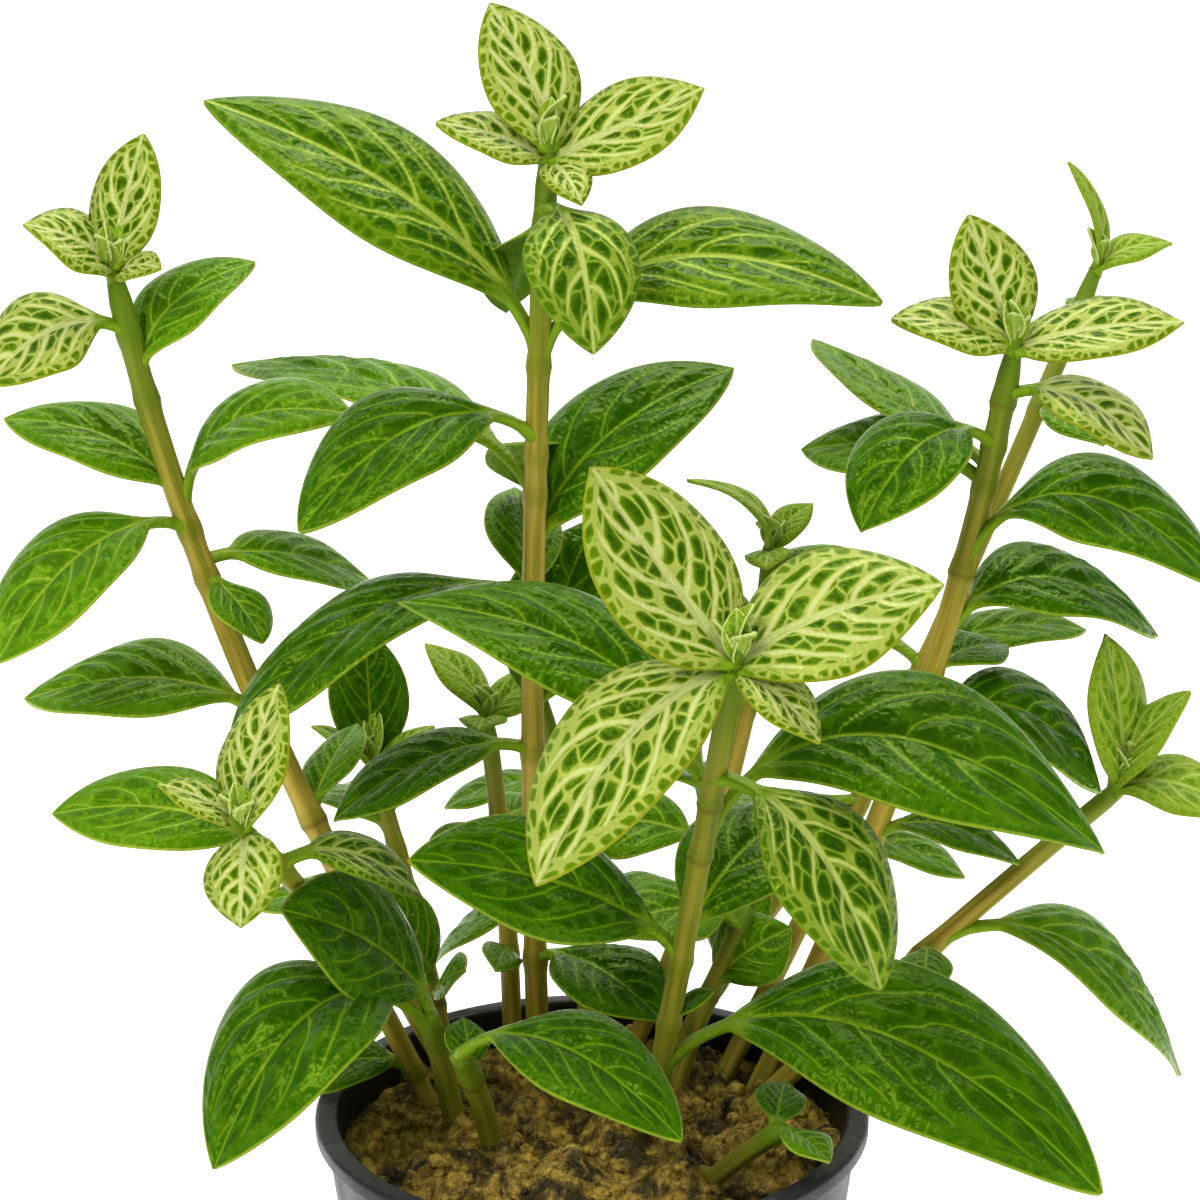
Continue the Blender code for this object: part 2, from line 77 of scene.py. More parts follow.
class Finish:
    """A material and the nodes that paint it. Each step takes numbers, colours or other steps."""

    def __init__(self, name):
        self.material = bpy.data.materials.new(name)
        self.material.use_nodes = True
        self.tree = self.material.node_tree
        self.shader = self.tree.nodes["Principled BSDF"]

    def put(self, socket, value):
        if isinstance(value, bpy.types.NodeSocket):
            self.tree.links.new(value, socket)
        else:
            socket.default_value = value

    def reckon(self, operation, first, second=0.0, clamp=False):
        step = self.tree.nodes.new("ShaderNodeMath")
        step.operation = operation
        step.use_clamp = clamp
        self.put(step.inputs[0], first)
        self.put(step.inputs[1], second)
        return step.outputs[0]

    def plus(self, first, second):
        return self.reckon("ADD", first, second)

    def minus(self, first, second):
        return self.reckon("SUBTRACT", first, second)

    def times(self, first, second):
        return self.reckon("MULTIPLY", first, second)

    def over(self, first, second):
        return self.reckon("DIVIDE", first, second)

    def size_of(self, value):
        """How large a number is, whatever its sign."""
        return self.reckon("ABSOLUTE", value)

    def near(self, first, second, rounding):
        """The smaller of two distances, with a soft fillet where they meet."""
        step = self.tree.nodes.new("ShaderNodeMath")
        step.operation = "SMOOTH_MIN"
        for socket, value in zip(step.inputs, (first, second, rounding)):
            self.put(socket, value)
        return step.outputs[0]

    def span(self, value, start, end, low=0.0, high=1.0):
        """Runs smoothly from low to high while the value goes from start to end."""
        step = self.tree.nodes.new("ShaderNodeMapRange")
        step.interpolation_type = "SMOOTHSTEP"
        for name, given in (("Value", value), ("From Min", start), ("From Max", end),
                            ("To Min", low), ("To Max", high)):
            self.put(step.inputs[name], given)
        return step.outputs[0]

    def blend(self, share, first, second):
        step = self.tree.nodes.new("ShaderNodeMix")
        step.data_type = "RGBA"
        self.put(step.inputs["Factor"], share)
        self.put(step.inputs["A"], first)
        self.put(step.inputs["B"], second)
        return step.outputs["Result"]

    def stretch(self, vector, factors):
        step = self.tree.nodes.new("ShaderNodeVectorMath")
        step.operation = "MULTIPLY"
        self.put(step.inputs[0], vector)
        self.put(step.inputs[1], factors)
        return step.outputs[0]

    def place(self, factors=(1, 1, 1)):
        """Where a point is on the object, in metres, stretched along its axes."""
        return self.stretch(self.tree.nodes.new("ShaderNodeTexCoord").outputs["Object"], factors)

    def grain(self, place, size, detail=3.0, rough=0.55):
        step = self.tree.nodes.new("ShaderNodeTexNoise")
        self.put(step.inputs["Vector"], place)
        self.put(step.inputs["Scale"], 1 / size)
        self.put(step.inputs["Detail"], detail)
        self.put(step.inputs["Roughness"], rough)
        return step.outputs[0]

    def relief(self, height, depth, under=None):
        """A surface that stands out by this depth where the height is 1, laid over another relief."""
        step = self.tree.nodes.new("ShaderNodeBump")
        self.put(step.inputs["Height"], height)
        self.put(step.inputs["Distance"], depth)
        self.put(step.inputs["Strength"], 1.0)
        if under:
            self.put(step.inputs["Normal"], under)
        return step.outputs[0]

    def done(self, colour, rough, relief=None, gloss=0.5):
        self.put(self.shader.inputs["Base Color"], colour)
        self.put(self.shader.inputs["Roughness"], rough)
        self.put(self.shader.inputs["Specular IOR Level"], gloss)
        if relief:
            self.put(self.shader.inputs["Normal"], relief)
        return self.material


def moulded_plastic():
    finish = Finish("moulded_plastic")
    place = finish.place()
    mould = finish.grain(place, MOULD_GRAIN, 2.0)
    clouds = finish.grain(place, HAZE_SIZE, 4.0)
    height = finish.tree.nodes.new("ShaderNodeSeparateXYZ")
    finish.put(height.inputs[0], place)
    near_lip = finish.span(height.outputs["Z"], POT_HIGH.z - WORN_BAND, POT_HIGH.z)
    scuffs = finish.span(finish.grain(finish.place(SCUFF_LENGTHS), SCUFF_SIZE, 5.0), 0.58, 0.72)
    worn = finish.times(scuffs, finish.span(near_lip, 0.0, 1.0, 0.12, 0.5))
    colour = finish.blend(worn, paint(CHARCOAL), paint(RUBBED))
    colour = finish.blend(finish.span(clouds, 0.35, 0.7, 0.0, 0.3), colour, paint(HAZE))
    rough = finish.span(clouds, 0.3, 0.7, 0.34, 0.5)
    skin = finish.relief(clouds, 0.12 * MM, finish.relief(mould, 0.02 * MM))
    return finish.done(colour, rough, skin)


def arc(centre, radius, start, end, steps=6):
    """Points of a profile's round corner, from one angle to another, in degrees."""
    angles = [math.radians(start + (end - start) * step / steps) for step in range(steps + 1)]
    return [(centre[0] + radius * math.cos(a), centre[1] + radius * math.sin(a)) for a in angles]


def new_piece(name, mesh, material, slot, *nodes):
    """A finished mesh as a piece of the part: it rides on it and stands for its nodes."""
    item = bpy.data.objects.new(name, mesh)
    bpy.context.scene.collection.objects.link(item)
    mesh.materials.append(material)
    mesh.shade_smooth()
    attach(item, "root")
    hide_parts(*nodes)
    return item


def pot_profile():
    """The cup's section, from the middle of its foot out, up round the lip and back inside."""
    edge = EDGE_ROUND
    under_lip = 0.7 * edge
    corner = 0.4 * edge
    top = POT_HIGH.z
    lip = top - LIP_HEIGHT
    body = RIM - LIP_OVERHANG
    inner = body - POT_WALL
    outside = [(0, 0), (FOOT * 0.5, 0), (FOOT - 3 * edge, 0)]
    outside += arc((FOOT - edge, edge), edge, -90, 0)
    outside += [(FOOT + (body - FOOT) * share, lip * share) for share in (0.25, 0.5, 0.75, 0.97)]
    outside += [(body, lip - corner), (body + corner, lip)]
    outside += arc((RIM - under_lip, lip + under_lip), under_lip, -90, 0)
    outside += arc((RIM - edge, top - edge), edge, 0, 90)
    inside = arc((inner + edge, top - edge), edge, 90, 180)
    inside += [(inner - (inner - FOOT + POT_WALL) * share, top - (top - POT_FLOOR) * share)
               for share in (0.1, 0.4, 0.7, 0.97)]
    return outside + inside + [(FOOT - POT_WALL - 3 * edge, POT_FLOOR), (0, POT_FLOOR)]


profile = pot_profile()
pot_mesh = bpy.data.meshes.new("pot_cup")
pot_mesh.from_pydata([(x, 0.0, z) for x, z in profile], [(i, i + 1) for i in range(len(profile) - 1)], [])
pot = new_piece("pot_cup", pot_mesh, moulded_plastic(), "pot_plastic", "pot")
turning = pot.modifiers.new("turn", "SCREW")
turning.steps = POT_SIDES
turning.render_steps = POT_SIDES
turning.use_merge_vertices = True
turning.merge_threshold = 0.00001
turning.use_smooth_shade = True
turning.use_normal_flip = True


# The rock wool
# A plug of golden-brown mineral wool fills the pot. It is a felt of fine curly fibres, torn into soft
# damp lumps on top, with crumbs and loose fibres where the stems were set. Painted shade darkens it in
# patches that stand for its hollows, and pale specks on it are painted glints.

WOOL_LOW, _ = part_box("substrate")
WOOL_RADIUS = RIM - LIP_OVERHANG - POT_WALL - 0.25 * MM
WOOL_FOOT = FOOT - POT_WALL - 0.4 * MM
WOOL_EDGE = 45.8 * MM
WOOL_MOUND = 1.6 * MM
WOOL_GRID = 150
LUMP_SIZE = 7.5 * MM
LUMP_HEIGHT = 2.6 * MM
TUFT_SIZE = 2.6 * MM
TUFT_HEIGHT = 2.3 * MM
NAP_SIZE = 0.9 * MM
NAP_HEIGHT = 0.36 * MM
CRUMBS = 260
CRUMB_SIZES = (0.35 * MM, 1.0 * MM)
CRUMB_RINGS = 6
CRUMB_SIDES = 8
FIBRES = 1500
FIBRE_STEPS = (0.3 * MM, 0.75 * MM)
FIBRE_RADII = (0.035 * MM, 0.075 * MM)
FIBRE_LIFTS = (0.1 * MM, 0.9 * MM)
FIBRE_JOINTS = 6
FIBRE_SIDES = 3
WOOL_GOLD = (222, 188, 84)
WOOL_BROWN = (128, 103, 28)
WOOL_PAINTED_SHADE = (30, 24, 3)
WOOL_PAINTED_GLINT = (232, 214, 148)
rng = np.random.default_rng(11)


def wool_height(x, y):
    """Height of the torn surface: large lumps, tufts on them and a fine nap."""
    spot = Vector((x, y, 0.0))
    lumps = noise.fractal(spot / LUMP_SIZE, 1.0, 2.0, 2)
    tufts = abs(noise.noise(spot / TUFT_SIZE + Vector((3, 1, 2))))
    nap = noise.fractal(spot / NAP_SIZE, 0.9, 2.1, 2)
    share = min(1.0, math.hypot(x, y) / WOOL_RADIUS)
    mound = WOOL_EDGE + WOOL_MOUND * (1 - share ** 2)
    fade = min(1.0, (1 - share) * 8 + 0.25)
    return mound + fade * (LUMP_HEIGHT * lumps + TUFT_HEIGHT * (tufts - 0.2) + NAP_HEIGHT * nap)


def wool_plug():
    """The torn top as a round grid, and a plain plug below it, down to the pot's floor."""
    places = []
    for v in np.linspace(-1, 1, WOOL_GRID + 1):
        for u in np.linspace(-1, 1, WOOL_GRID + 1):
            x = WOOL_RADIUS * u * math.sqrt(1 - v * v / 2)
            y = WOOL_RADIUS * v * math.sqrt(1 - u * u / 2)
            places.append((x, y, wool_height(x, y)))
    side = WOOL_GRID + 1
    corners = [j * side + i for j in range(WOOL_GRID) for i in range(WOOL_GRID)]
    faces = [(a, a + 1, a + side + 1, a + side) for a in corners]
    rim = list(range(side))
    rim += [j * side + side - 1 for j in range(1, side)]
    rim += [(side - 1) * side + i for i in range(side - 2, -1, -1)]
    rim += [j * side for j in range(side - 2, 0, -1)]
    start = len(places)
    taper = WOOL_FOOT / WOOL_RADIUS
    places += [(places[i][0] * taper, places[i][1] * taper, WOOL_LOW.z) for i in rim]
    for k, corner in enumerate(rim):
        n = (k + 1) % len(rim)
        faces.append((rim[n], corner, start + k, start + n))
    faces.append(tuple(range(start, len(places)))[::-1])
    return places, faces


def scattered_spot(spread):
    angle = rng.uniform(0, 2 * math.pi)
    radius = WOOL_RADIUS * spread * math.sqrt(rng.uniform())
    return radius * math.cos(angle), radius * math.sin(angle)


def tube_faces(start, rings, sides):
    """The faces of a tube whose rings of points begin at this one, with a cap on each end."""
    faces = []
    for ring in range(rings - 1):
        a = start + ring * sides
        b = a + sides
        for k in range(sides):
            n = (k + 1) % sides
            faces.append((a + n, a + k, b + k, b + n))
    last = start + (rings - 1) * sides
    faces.append(tuple(range(start, start + sides)))
    faces.append(tuple(range(last, last + sides))[::-1])
    return faces


def crumb(places, faces):
    """A torn tuft: a small rough ball pressed into the surface."""
    x, y = scattered_spot(0.93)
    centre = Vector((x, y, wool_height(x, y) + 0.1 * MM))
    size = rng.uniform(*CRUMB_SIZES)
    turn = rng.uniform(0, 10)
    faces += tube_faces(len(places), CRUMB_RINGS, CRUMB_SIDES)
    for ring in range(CRUMB_RINGS):
        tilt = math.pi * (ring + 0.02) / (CRUMB_RINGS - 0.96)
        for k in range(CRUMB_SIDES):
            angle = 2 * math.pi * k / CRUMB_SIDES
            way = Vector((math.sin(tilt) * math.cos(angle), math.sin(tilt) * math.sin(angle),
                          math.cos(tilt) * 0.7))
            swell = 1 + 0.5 * noise.noise(way * 1.7 + Vector((turn, 0, 0)))
            places.append(tuple(centre + way * size * swell))


def fibre(places, faces):
    """One loose fibre: a hair of three sides that curls over the surface."""
    x, y = scattered_spot(0.97)
    heading = rng.uniform(0, 2 * math.pi)
    curl = rng.uniform(-0.9, 0.9)
    step = rng.uniform(*FIBRE_STEPS)
    radius = rng.uniform(*FIBRE_RADII)
    lift = rng.uniform(*FIBRE_LIFTS)
    faces += [face[::-1] for face in tube_faces(len(places), FIBRE_JOINTS + 1, FIBRE_SIDES)]
    for joint in range(FIBRE_JOINTS + 1):
        share = joint / FIBRE_JOINTS
        centre = Vector((x, y, wool_height(x, y) + lift * math.sin(math.pi * share) - 0.03 * MM))
        slim = radius * (1 - 0.6 * share)
        side = Vector((-math.sin(heading), math.cos(heading), 0.0))
        for corner in range(FIBRE_SIDES):
            angle = 2 * math.pi * corner / FIBRE_SIDES
            outward = math.cos(angle) * side + Vector((0, 0, math.sin(angle)))
            places.append(tuple(centre + slim * outward))
        x += step * math.cos(heading)
        y += step * math.sin(heading)
        if math.hypot(x, y) > WOOL_RADIUS * 0.97:
            heading += math.pi / 2
        heading += curl + rng.uniform(-0.4, 0.4)


def damp_wool():
    finish = Finish("damp_rock_wool")
    place = finish.place()
    lumps = finish.grain(place, 4.5 * MM, 4.0)
    tufts = finish.grain(place, 1.1 * MM, 5.0, 0.65)
    specks = finish.grain(place, 0.4 * MM, 3.0, 0.7)
    colour = finish.blend(finish.span(tufts, 0.36, 0.66), paint(WOOL_BROWN), paint(WOOL_GOLD))
    # Painted shade: deep brown where the lumps noise is low, standing for shade in the wool's hollows.
    colour = finish.blend(finish.span(lumps, 0.51, 0.38, 0.0, 0.88), colour, paint(WOOL_PAINTED_SHADE))
    # Painted glints: pale specks lighten the colour, on the same specks that are made glossier just below.
    colour = finish.blend(finish.span(specks, 0.6, 0.74, 0.0, 0.75), colour, paint(WOOL_PAINTED_GLINT))
    rough = finish.span(specks, 0.42, 0.62, 0.7, 0.25)
    nap = finish.relief(tufts, 0.5 * MM, finish.relief(specks, 0.3 * MM))
    return finish.done(colour, rough, nap, 0.6)


places, faces = wool_plug()
for _ in range(CRUMBS):
    crumb(places, faces)
for _ in range(FIBRES):
    fibre(places, faces)
wool_mesh = bpy.data.meshes.new("rock_wool_plug")
wool_mesh.from_pydata(places, [], faces)
new_piece("rock_wool_plug", wool_mesh, damp_wool(), "rock_wool", "substrate")


# The stems
# Sixteen cuttings, rooted in the wool. Each is a slightly four-sided stem, tan and olive, that swells
# into a ringed node wherever a pair of leaves sits on it, and turns green and slim towards its end.

Leaf = namedtuple("Leaf", "height azimuth rise length width bow roll look", defaults=["mature"])
Stem = namedtuple("Stem", "path radius leaves crown")

# Each stem: its path as three points, its radius, its leaves and the pale leaves of its crown.
# A leaf starts on the stem at its height; rise is the slope of the line from there to its tip,
# bow is how far the midrib arches above that line and roll turns the blade about it.
STEMS = {
    "main": Stem([(-5.6, 18, 47), (-5.8, 15, 95), (-4.2, 11, 138.4)], 1.15, [
        Leaf(136, 291, -42, 17, 11, 0.25, -5, "veined"),
        Leaf(134.5, 114, -45, 14, 8, 0.10, 0),
        Leaf(121, 175, 38, 40, 14.5, 0.12, 35, "faded"),
        Leaf(121, 355, 11, 33, 13.2, 0.235, -35, "faded"),
        Leaf(113.5, 211, -13, 26, 13, 0.22, 22),
        Leaf(112, 95, -25, 17, 9, 0.12, 0, "fresh"),
        Leaf(108, 146, 12, 39, 12, 0.12, 5, "fresh"),
        Leaf(98, 27, 42, 30, 13.5, 0.19, -25),
        Leaf(97, 203, -19, 33, 14, 0.18, 6),
        Leaf(96, 98, 28, 18, 8, 0.10, -10, "fresh"),
        Leaf(81, 191, -17, 21, 10, 0.14, 15),
        Leaf(82, 60, 58, 24, 12, 0.10, -10),
        Leaf(65, 290, 5, 15, 9, 0.14, 10),
        Leaf(58, 320, -8, 17, 12, 0.14, -5),
    ], [
        Leaf(141.5, 145, 63, 14.8, 9.6, 0.085, 30, "young"),
        Leaf(140.5, 186, 20, 11, 7, 0.07, 30, "young"),
        Leaf(140.7, 356, 25, 16, 9.4, 0.00, -50, "young"),
        Leaf(140.2, 300, -24, 7, 4.8, 0.14, -10, "young"),
    ]),
    "front": Stem([(5.7, 2, 47), (9.6, -8, 76), (12.2, -18, 98)], 1.1, [
        Leaf(88.5, 325, -43, 24, 13, 0.17, -15, "veined"),
        Leaf(86, 110, -15, 18, 10, 0.12, 0),
        Leaf(80, 172, 39, 36, 13.5, 0.24, 25),
        Leaf(80, 351, 3, 36.5, 16.5, 0.31, -30),
        Leaf(67, 200, 27, 30, 12.5, 0.10, 45),
        Leaf(67, 50, 28, 22, 12, 0.14, -15),
        Leaf(59.5, 347, 39, 5.6, 2.6, 0.10, -30),
        Leaf(53, 337, -5.3, 44.2, 17.2, 0.24, -30),
    ], [
        Leaf(101, 175, 54, 21.5, 14, -0.01, 45, "young"),
        Leaf(100, 0, 24, 19.8, 13.5, 0.09, -38, "young"),
        Leaf(100, 208, -40, 25.2, 13.2, 0.14, 25, "young"),
        Leaf(100, 325, -28, 10, 6.5, 0.12, -10, "young"),
    ]),
    "low_left": Stem([(-16.5, 6.5, 47), (-24.5, -1, 68), (-30.3, -11, 81)], 1.05, [
        Leaf(78, 171, 10, 22, 10.4, 0.15, 30, "fresh"),
        Leaf(78, 14, -18, 14, 7, 0.20, -20, "veined"),
        Leaf(50.8, 188, -5, 12.5, 8.5, 0.16, 12),
    ], [
        Leaf(83.5, 54, 66, 13.6, 8, 0.08, 0, "young"),
        Leaf(83.2, 180, 30, 9, 5.5, 0.10, 15, "young"),
        Leaf(83, 269, -50, 9, 8, 0.12, -20, "young"),
    ]),
    "tall_left": Stem([(-13.5, 11, 47), (-33.5, 17, 86), (-45.5, 18, 126)], 1.25, [
        Leaf(123, 203, -16, 14.6, 11.5, 0.20, 30, "young"),
        Leaf(116.5, 26, 47, 17, 9, 0.24, -25, "fresh"),
        Leaf(104, 167, 26.5, 21, 11, 0.19, 20, "fresh"),
        Leaf(103.5, 341, 35, 22, 11, 0.28, -30, "fresh"),
        Leaf(103.5, 216, -26, 23.5, 13, 0.19, 15, "fresh"),
        Leaf(100, 29, -14, 19, 10, 0.10, -20, "fresh"),
        Leaf(98.5, 315, -30, 10, 7, 0.10, 5, "fresh"),
        Leaf(83.5, 173, 3.5, 25, 12.8, 0.15, 20, "fresh"),
        Leaf(74, 65, 35, 12, 7, 0.12, 15, "fresh"),
    ], [
        Leaf(129.3, 35, 73, 13.3, 8, 0.02, -30, "young"),
        Leaf(128.2, 198, 34, 10.3, 8.2, 0.14, 35, "young"),
        Leaf(128.3, 319, 15, 7, 4, 0.12, -40, "young"),
    ]),
    "tall_right": Stem([(17.3, 11.5, 47), (33, 17, 86), (40.4, 17, 119)], 1.25, [
        Leaf(116.8, 338, -18, 15.5, 11, 0.18, -12, "young"),
        Leaf(112, 216, -20, 18, 12, 0.26, 15),
        Leaf(110, 132, 20, 26, 10, 0.01, -5, "fresh"),
        Leaf(99.5, 341, 1, 25, 13.5, 0.33, -25),
        Leaf(108, 150, 3, 20, 10, 0.12, 30, "fresh"),
        Leaf(90.5, 10, 2, 23, 13, 0.32, -20),
        Leaf(88.5, 40, 5, 11, 7, 0.12, -15),
        Leaf(82, 2, -17, 20.5, 14.5, 0.30, -20),
        Leaf(71.5, 350, -6, 15, 7.5, 0.20, -10),
    ], [
        Leaf(122, 157, 68, 13.4, 9, 0.00, 50, "young"),
        Leaf(121.3, 185, 16, 12.5, 8.2, 0.10, 28, "young"),
        Leaf(121.3, 356, 11, 16.5, 9, 0.06, -30, "young"),
    ]),
    "back_right": Stem([(14, 15, 47), (37, 33, 90), (52, 44.5, 122)], 1.05, [
        Leaf(118, 51, 6, 13, 8, 0.12, -5, "fresh"),
        Leaf(111, 300, -12, 11, 8, 0.12, -5, "fresh"),
        Leaf(85, 10, 10, 18, 9, 0.14, -10, "fresh"),
        Leaf(85, 150, 5, 18, 9, 0.14, 0, "fresh"),
        Leaf(72, 200, -25, 13, 9, 0.16, 10, "fresh"),
    ], [
        Leaf(124.8, 161, 72, 11.5, 3.6, 0.14, 15, "pale"),
        Leaf(124.2, 0, 21, 8.6, 5, 0.14, -25, "pale"),
    ]),
    "low_right": Stem([(16.7, 6.5, 47), (36.5, 14.5, 62.5), (52.5, 20, 74.5)], 1.1, [
        Leaf(61.5, 9, -33, 31.2, 13.5, 0.21, -20, "fresh"),
        Leaf(60.5, 262, -8, 9, 5.5, 0.12, 0, "fresh"),
    ], [
        Leaf(75.6, 140, 80, 16, 9, 0.04, 10, "pale"),
        Leaf(75, 5, 55, 13, 6.5, 0.10, -20, "pale"),
        Leaf(75, 345, -8, 13.5, 9, 0.18, -20, "pale"),
    ]),
    "back_left": Stem([(-8.3, 18.8, 47), (-9, 22, 63), (-10.6, 25, 79)], 1.0, [
        Leaf(70.5, 222, -22, 10, 7, 0.12, 10, "fresh"),
        Leaf(70.5, 52, -8, 8.5, 6, 0.12, -25, "fresh"),
        Leaf(57, 263, 12, 9, 4.4, 0.12, 25, "fresh"),
    ], [
        Leaf(81.5, 150, 42, 10, 6, 0.10, 5, "pale"),
        Leaf(81, 20, 30, 9, 6, 0.10, -20, "pale"),
        Leaf(81, 265, 10, 7, 5, 0.10, 0, "pale"),
    ]),
    "back_mid": Stem([(4, 19, 47), (14.5, 28, 74), (18.5, 35.5, 94.5)], 1.0, [
        Leaf(88, 149, 20, 9, 5, 0.20, 0, "fresh"),
        Leaf(88.5, 27, 34, 13, 8, 0.16, -20, "fresh"),
        Leaf(81, 126, 30, 17, 9, 0.14, -10, "fresh"),
        Leaf(66.5, 172, 5, 16, 11, 0.16, 25, "fresh"),
    ], [
        Leaf(95.5, 168, 42, 12, 5, 0.26, 0, "pale"),
        Leaf(96.2, 30, 40, 7, 4.5, 0.12, -20, "pale"),
        Leaf(96, 263, 0, 6, 5, 0.12, -10, "pale"),
    ]),
    "short_left": Stem([(-13.5, 2, 47), (-14.5, 1, 53), (-15.8, -1, 60)], 1.15, [
        Leaf(58.5, 219, 44, 23.5, 12.5, 0.12, 60),
        Leaf(57, 221, -12, 26.4, 16.6, 0.38, 10),
    ], []),
    "short_front": Stem([(-9.8, -2, 47), (-10.8, -5, 53), (-12.5, -9, 59.5)], 1.15, [
        Leaf(59, 325, -4, 25, 11, 0.20, -15),
        Leaf(56, 100, 35, 6.5, 4.5, 0.14, -10),
    ], []),
    "short_right": Stem([(12, -9, 47), (15, -10, 50), (18.5, -11, 53)], 1.0, [
        Leaf(52.2, 315, -8, 6.5, 6, 0.14, 10, "fresh"),
        Leaf(52, 80, 12, 8, 5, 0.10, -10),
    ], []),
    "middle": Stem([(8.5, 10.5, 47), (12, 13.5, 56), (16, 17, 64)], 1.0, [
        Leaf(62, 210, 10, 16, 10, 0.14, 20, "fresh"),
        Leaf(62, 120, 10, 6, 4.5, 0.14, 0, "fresh"),
        Leaf(56, 15, 35, 10.5, 9, 0.10, -35, "fresh"),
    ], []),
    "rear_mid": Stem([(-0.5, 18, 47), (-1.5, 31, 60), (-5, 46, 74)], 1.0, [
        Leaf(68, 60, 10, 18, 10, 0.16, 0, "fresh"),
        Leaf(68, 187, -5, 13, 9, 0.16, 0, "fresh"),
        Leaf(59, 170, -28, 19, 12, 0.16, 0, "fresh"),
        Leaf(59, 5, -5, 14, 9, 0.16, 0, "fresh"),
    ], [
        Leaf(76.5, 100, 40, 13, 8, 0.10, 0, "pale"),
        Leaf(76, 185, 45, 17, 9, 0.10, 0, "mature"),
        Leaf(76, 330, 20, 11, 7, 0.10, 0, "pale"),
    ]),
    "rear_left": Stem([(-14.7, 14.8, 47), (-17.2, 20.2, 56), (-22.5, 32, 71)], 1.0, [
        Leaf(66, 120, 0, 20, 10, 0.16, 0, "fresh"),
        Leaf(59, 170, 5, 18, 9, 0.16, 10, "fresh"),
        Leaf(54, 155, 55, 12.5, 7.5, 0.10, 30, "fresh"),
        Leaf(53, 300, 40, 9, 5.5, 0.10, -50, "fresh"),
    ], [
        Leaf(73.5, 100, 66, 14.5, 9, 0.06, -10, "mature"),
        Leaf(73, 180, 35, 8, 5, 0.10, 0, "pale"),
        Leaf(73, 0, 35, 8, 5, 0.10, 0, "pale"),
    ]),
    "rear_right": Stem([(8.5, 16.5, 47), (17, 25, 58), (32, 43, 69)], 1.0, [
        Leaf(64, 130, 0, 18, 10, 0.16, 0, "fresh"),
        Leaf(64, 340, -5, 16, 9, 0.14, 0, "fresh"),
        Leaf(54, 45, 58, 13, 8, 0.10, 0, "fresh"),
    ], [
        Leaf(70.5, 70, 40, 12, 7.5, 0.10, 0, "pale"),
        Leaf(70, 190, 30, 10, 6.5, 0.10, 0, "pale"),
        Leaf(70, 320, 20, 10, 6.5, 0.10, 0, "pale"),
    ]),
}
STEM_ROOT = 39.0
STRAIGHT_BELOW = 47.0
STEM_SIDES = 20
RING_STEP = 0.75
STEM_TAPER = 0.12
PAIR_APART = 3.0
NODE_SWELL = 0.15
NODE_REACH = 1.0
SCAR_HEIGHT = 0.09
SCAR_REACH = 0.28
SCAR_BELOW = 0.5
TIP_RISE = 2.0
TIP_RADIUS = 0.45
TIP_POINT = 0.18
STEM_TAN = (184, 160, 72)
STEM_BROWN = (142, 112, 40)
STEM_OLIVE = (118, 122, 16)
STEM_GREEN = (92, 126, 16)
STEM_SCAR = (110, 92, 36)
# How green these young stems are at the least, all the way down.
GREENER = {"front": 0.8, "short_left": 0.8, "short_front": 0.8, "short_right": 0.8, "middle": 0.75}


def stem_points(stem, heights):
    """Centres of a stem at these heights: a smooth arc, straight below the wool's surface."""
    path = np.array(stem.path, float)
    level = np.maximum(heights, STRAIGHT_BELOW)
    points = np.empty((len(heights), 3))
    for axis in (0, 1):
        curve = np.polyfit(path[:, 2], path[:, axis], 2)
        slope = np.polyval(np.polyder(curve), level)
        points[:, axis] = np.polyval(curve, level) + slope * (heights - level)
    points[:, 2] = heights
    return points


def leaf_root(stem, leaf):
    """Where on its stem a leaf starts."""
    return stem_points(stem, np.array([leaf.height], float))[0]


def save_attribute(mesh, name, values):
    """Keeps a vector for each vertex, which the finish reads by its name."""
    made = mesh.attributes.new(name, "FLOAT_VECTOR", "POINT")
    made.data.foreach_set("vector", np.asarray(values, np.float32).ravel())


def stem_nodes(stem):
    """Heights where leaf pairs sit; the two leaves of a pair may start a little apart."""
    nodes = []
    for height in sorted(leaf.height for leaf in stem.leaves):
        if not nodes or height - nodes[-1] > PAIR_APART:
            nodes.append(height)
    return np.array(nodes)


def stem_growth(stem):
    """Up a stem: its heights and radii, how near each is to a node and to a leaf scar, and its age."""
    end = stem.path[2][2]
    tip = max([end] + [leaf.height + TIP_RISE for leaf in stem.crown])
    heights = np.append(np.arange(STEM_ROOT, tip, RING_STEP), tip)
    apart = heights[:, None] - stem_nodes(stem)[None, :]
    node = np.exp(-(apart / NODE_REACH) ** 2).max(1)
    scar = np.exp(-((apart + SCAR_BELOW) / SCAR_REACH) ** 2).max(1)
    age = np.clip((heights - STEM_ROOT) / (tip - STEM_ROOT), 0, 1)
    late = np.clip((heights - end) / max(tip - end, 1e-6), 0, 1)
    radii = stem.radius * (1 - STEM_TAPER * age) * (1 + NODE_SWELL * node) + SCAR_HEIGHT * scar
    radii = radii * (1 - late) + TIP_RADIUS * late
    radii[-1] = TIP_POINT
    return heights, radii, node, scar, age


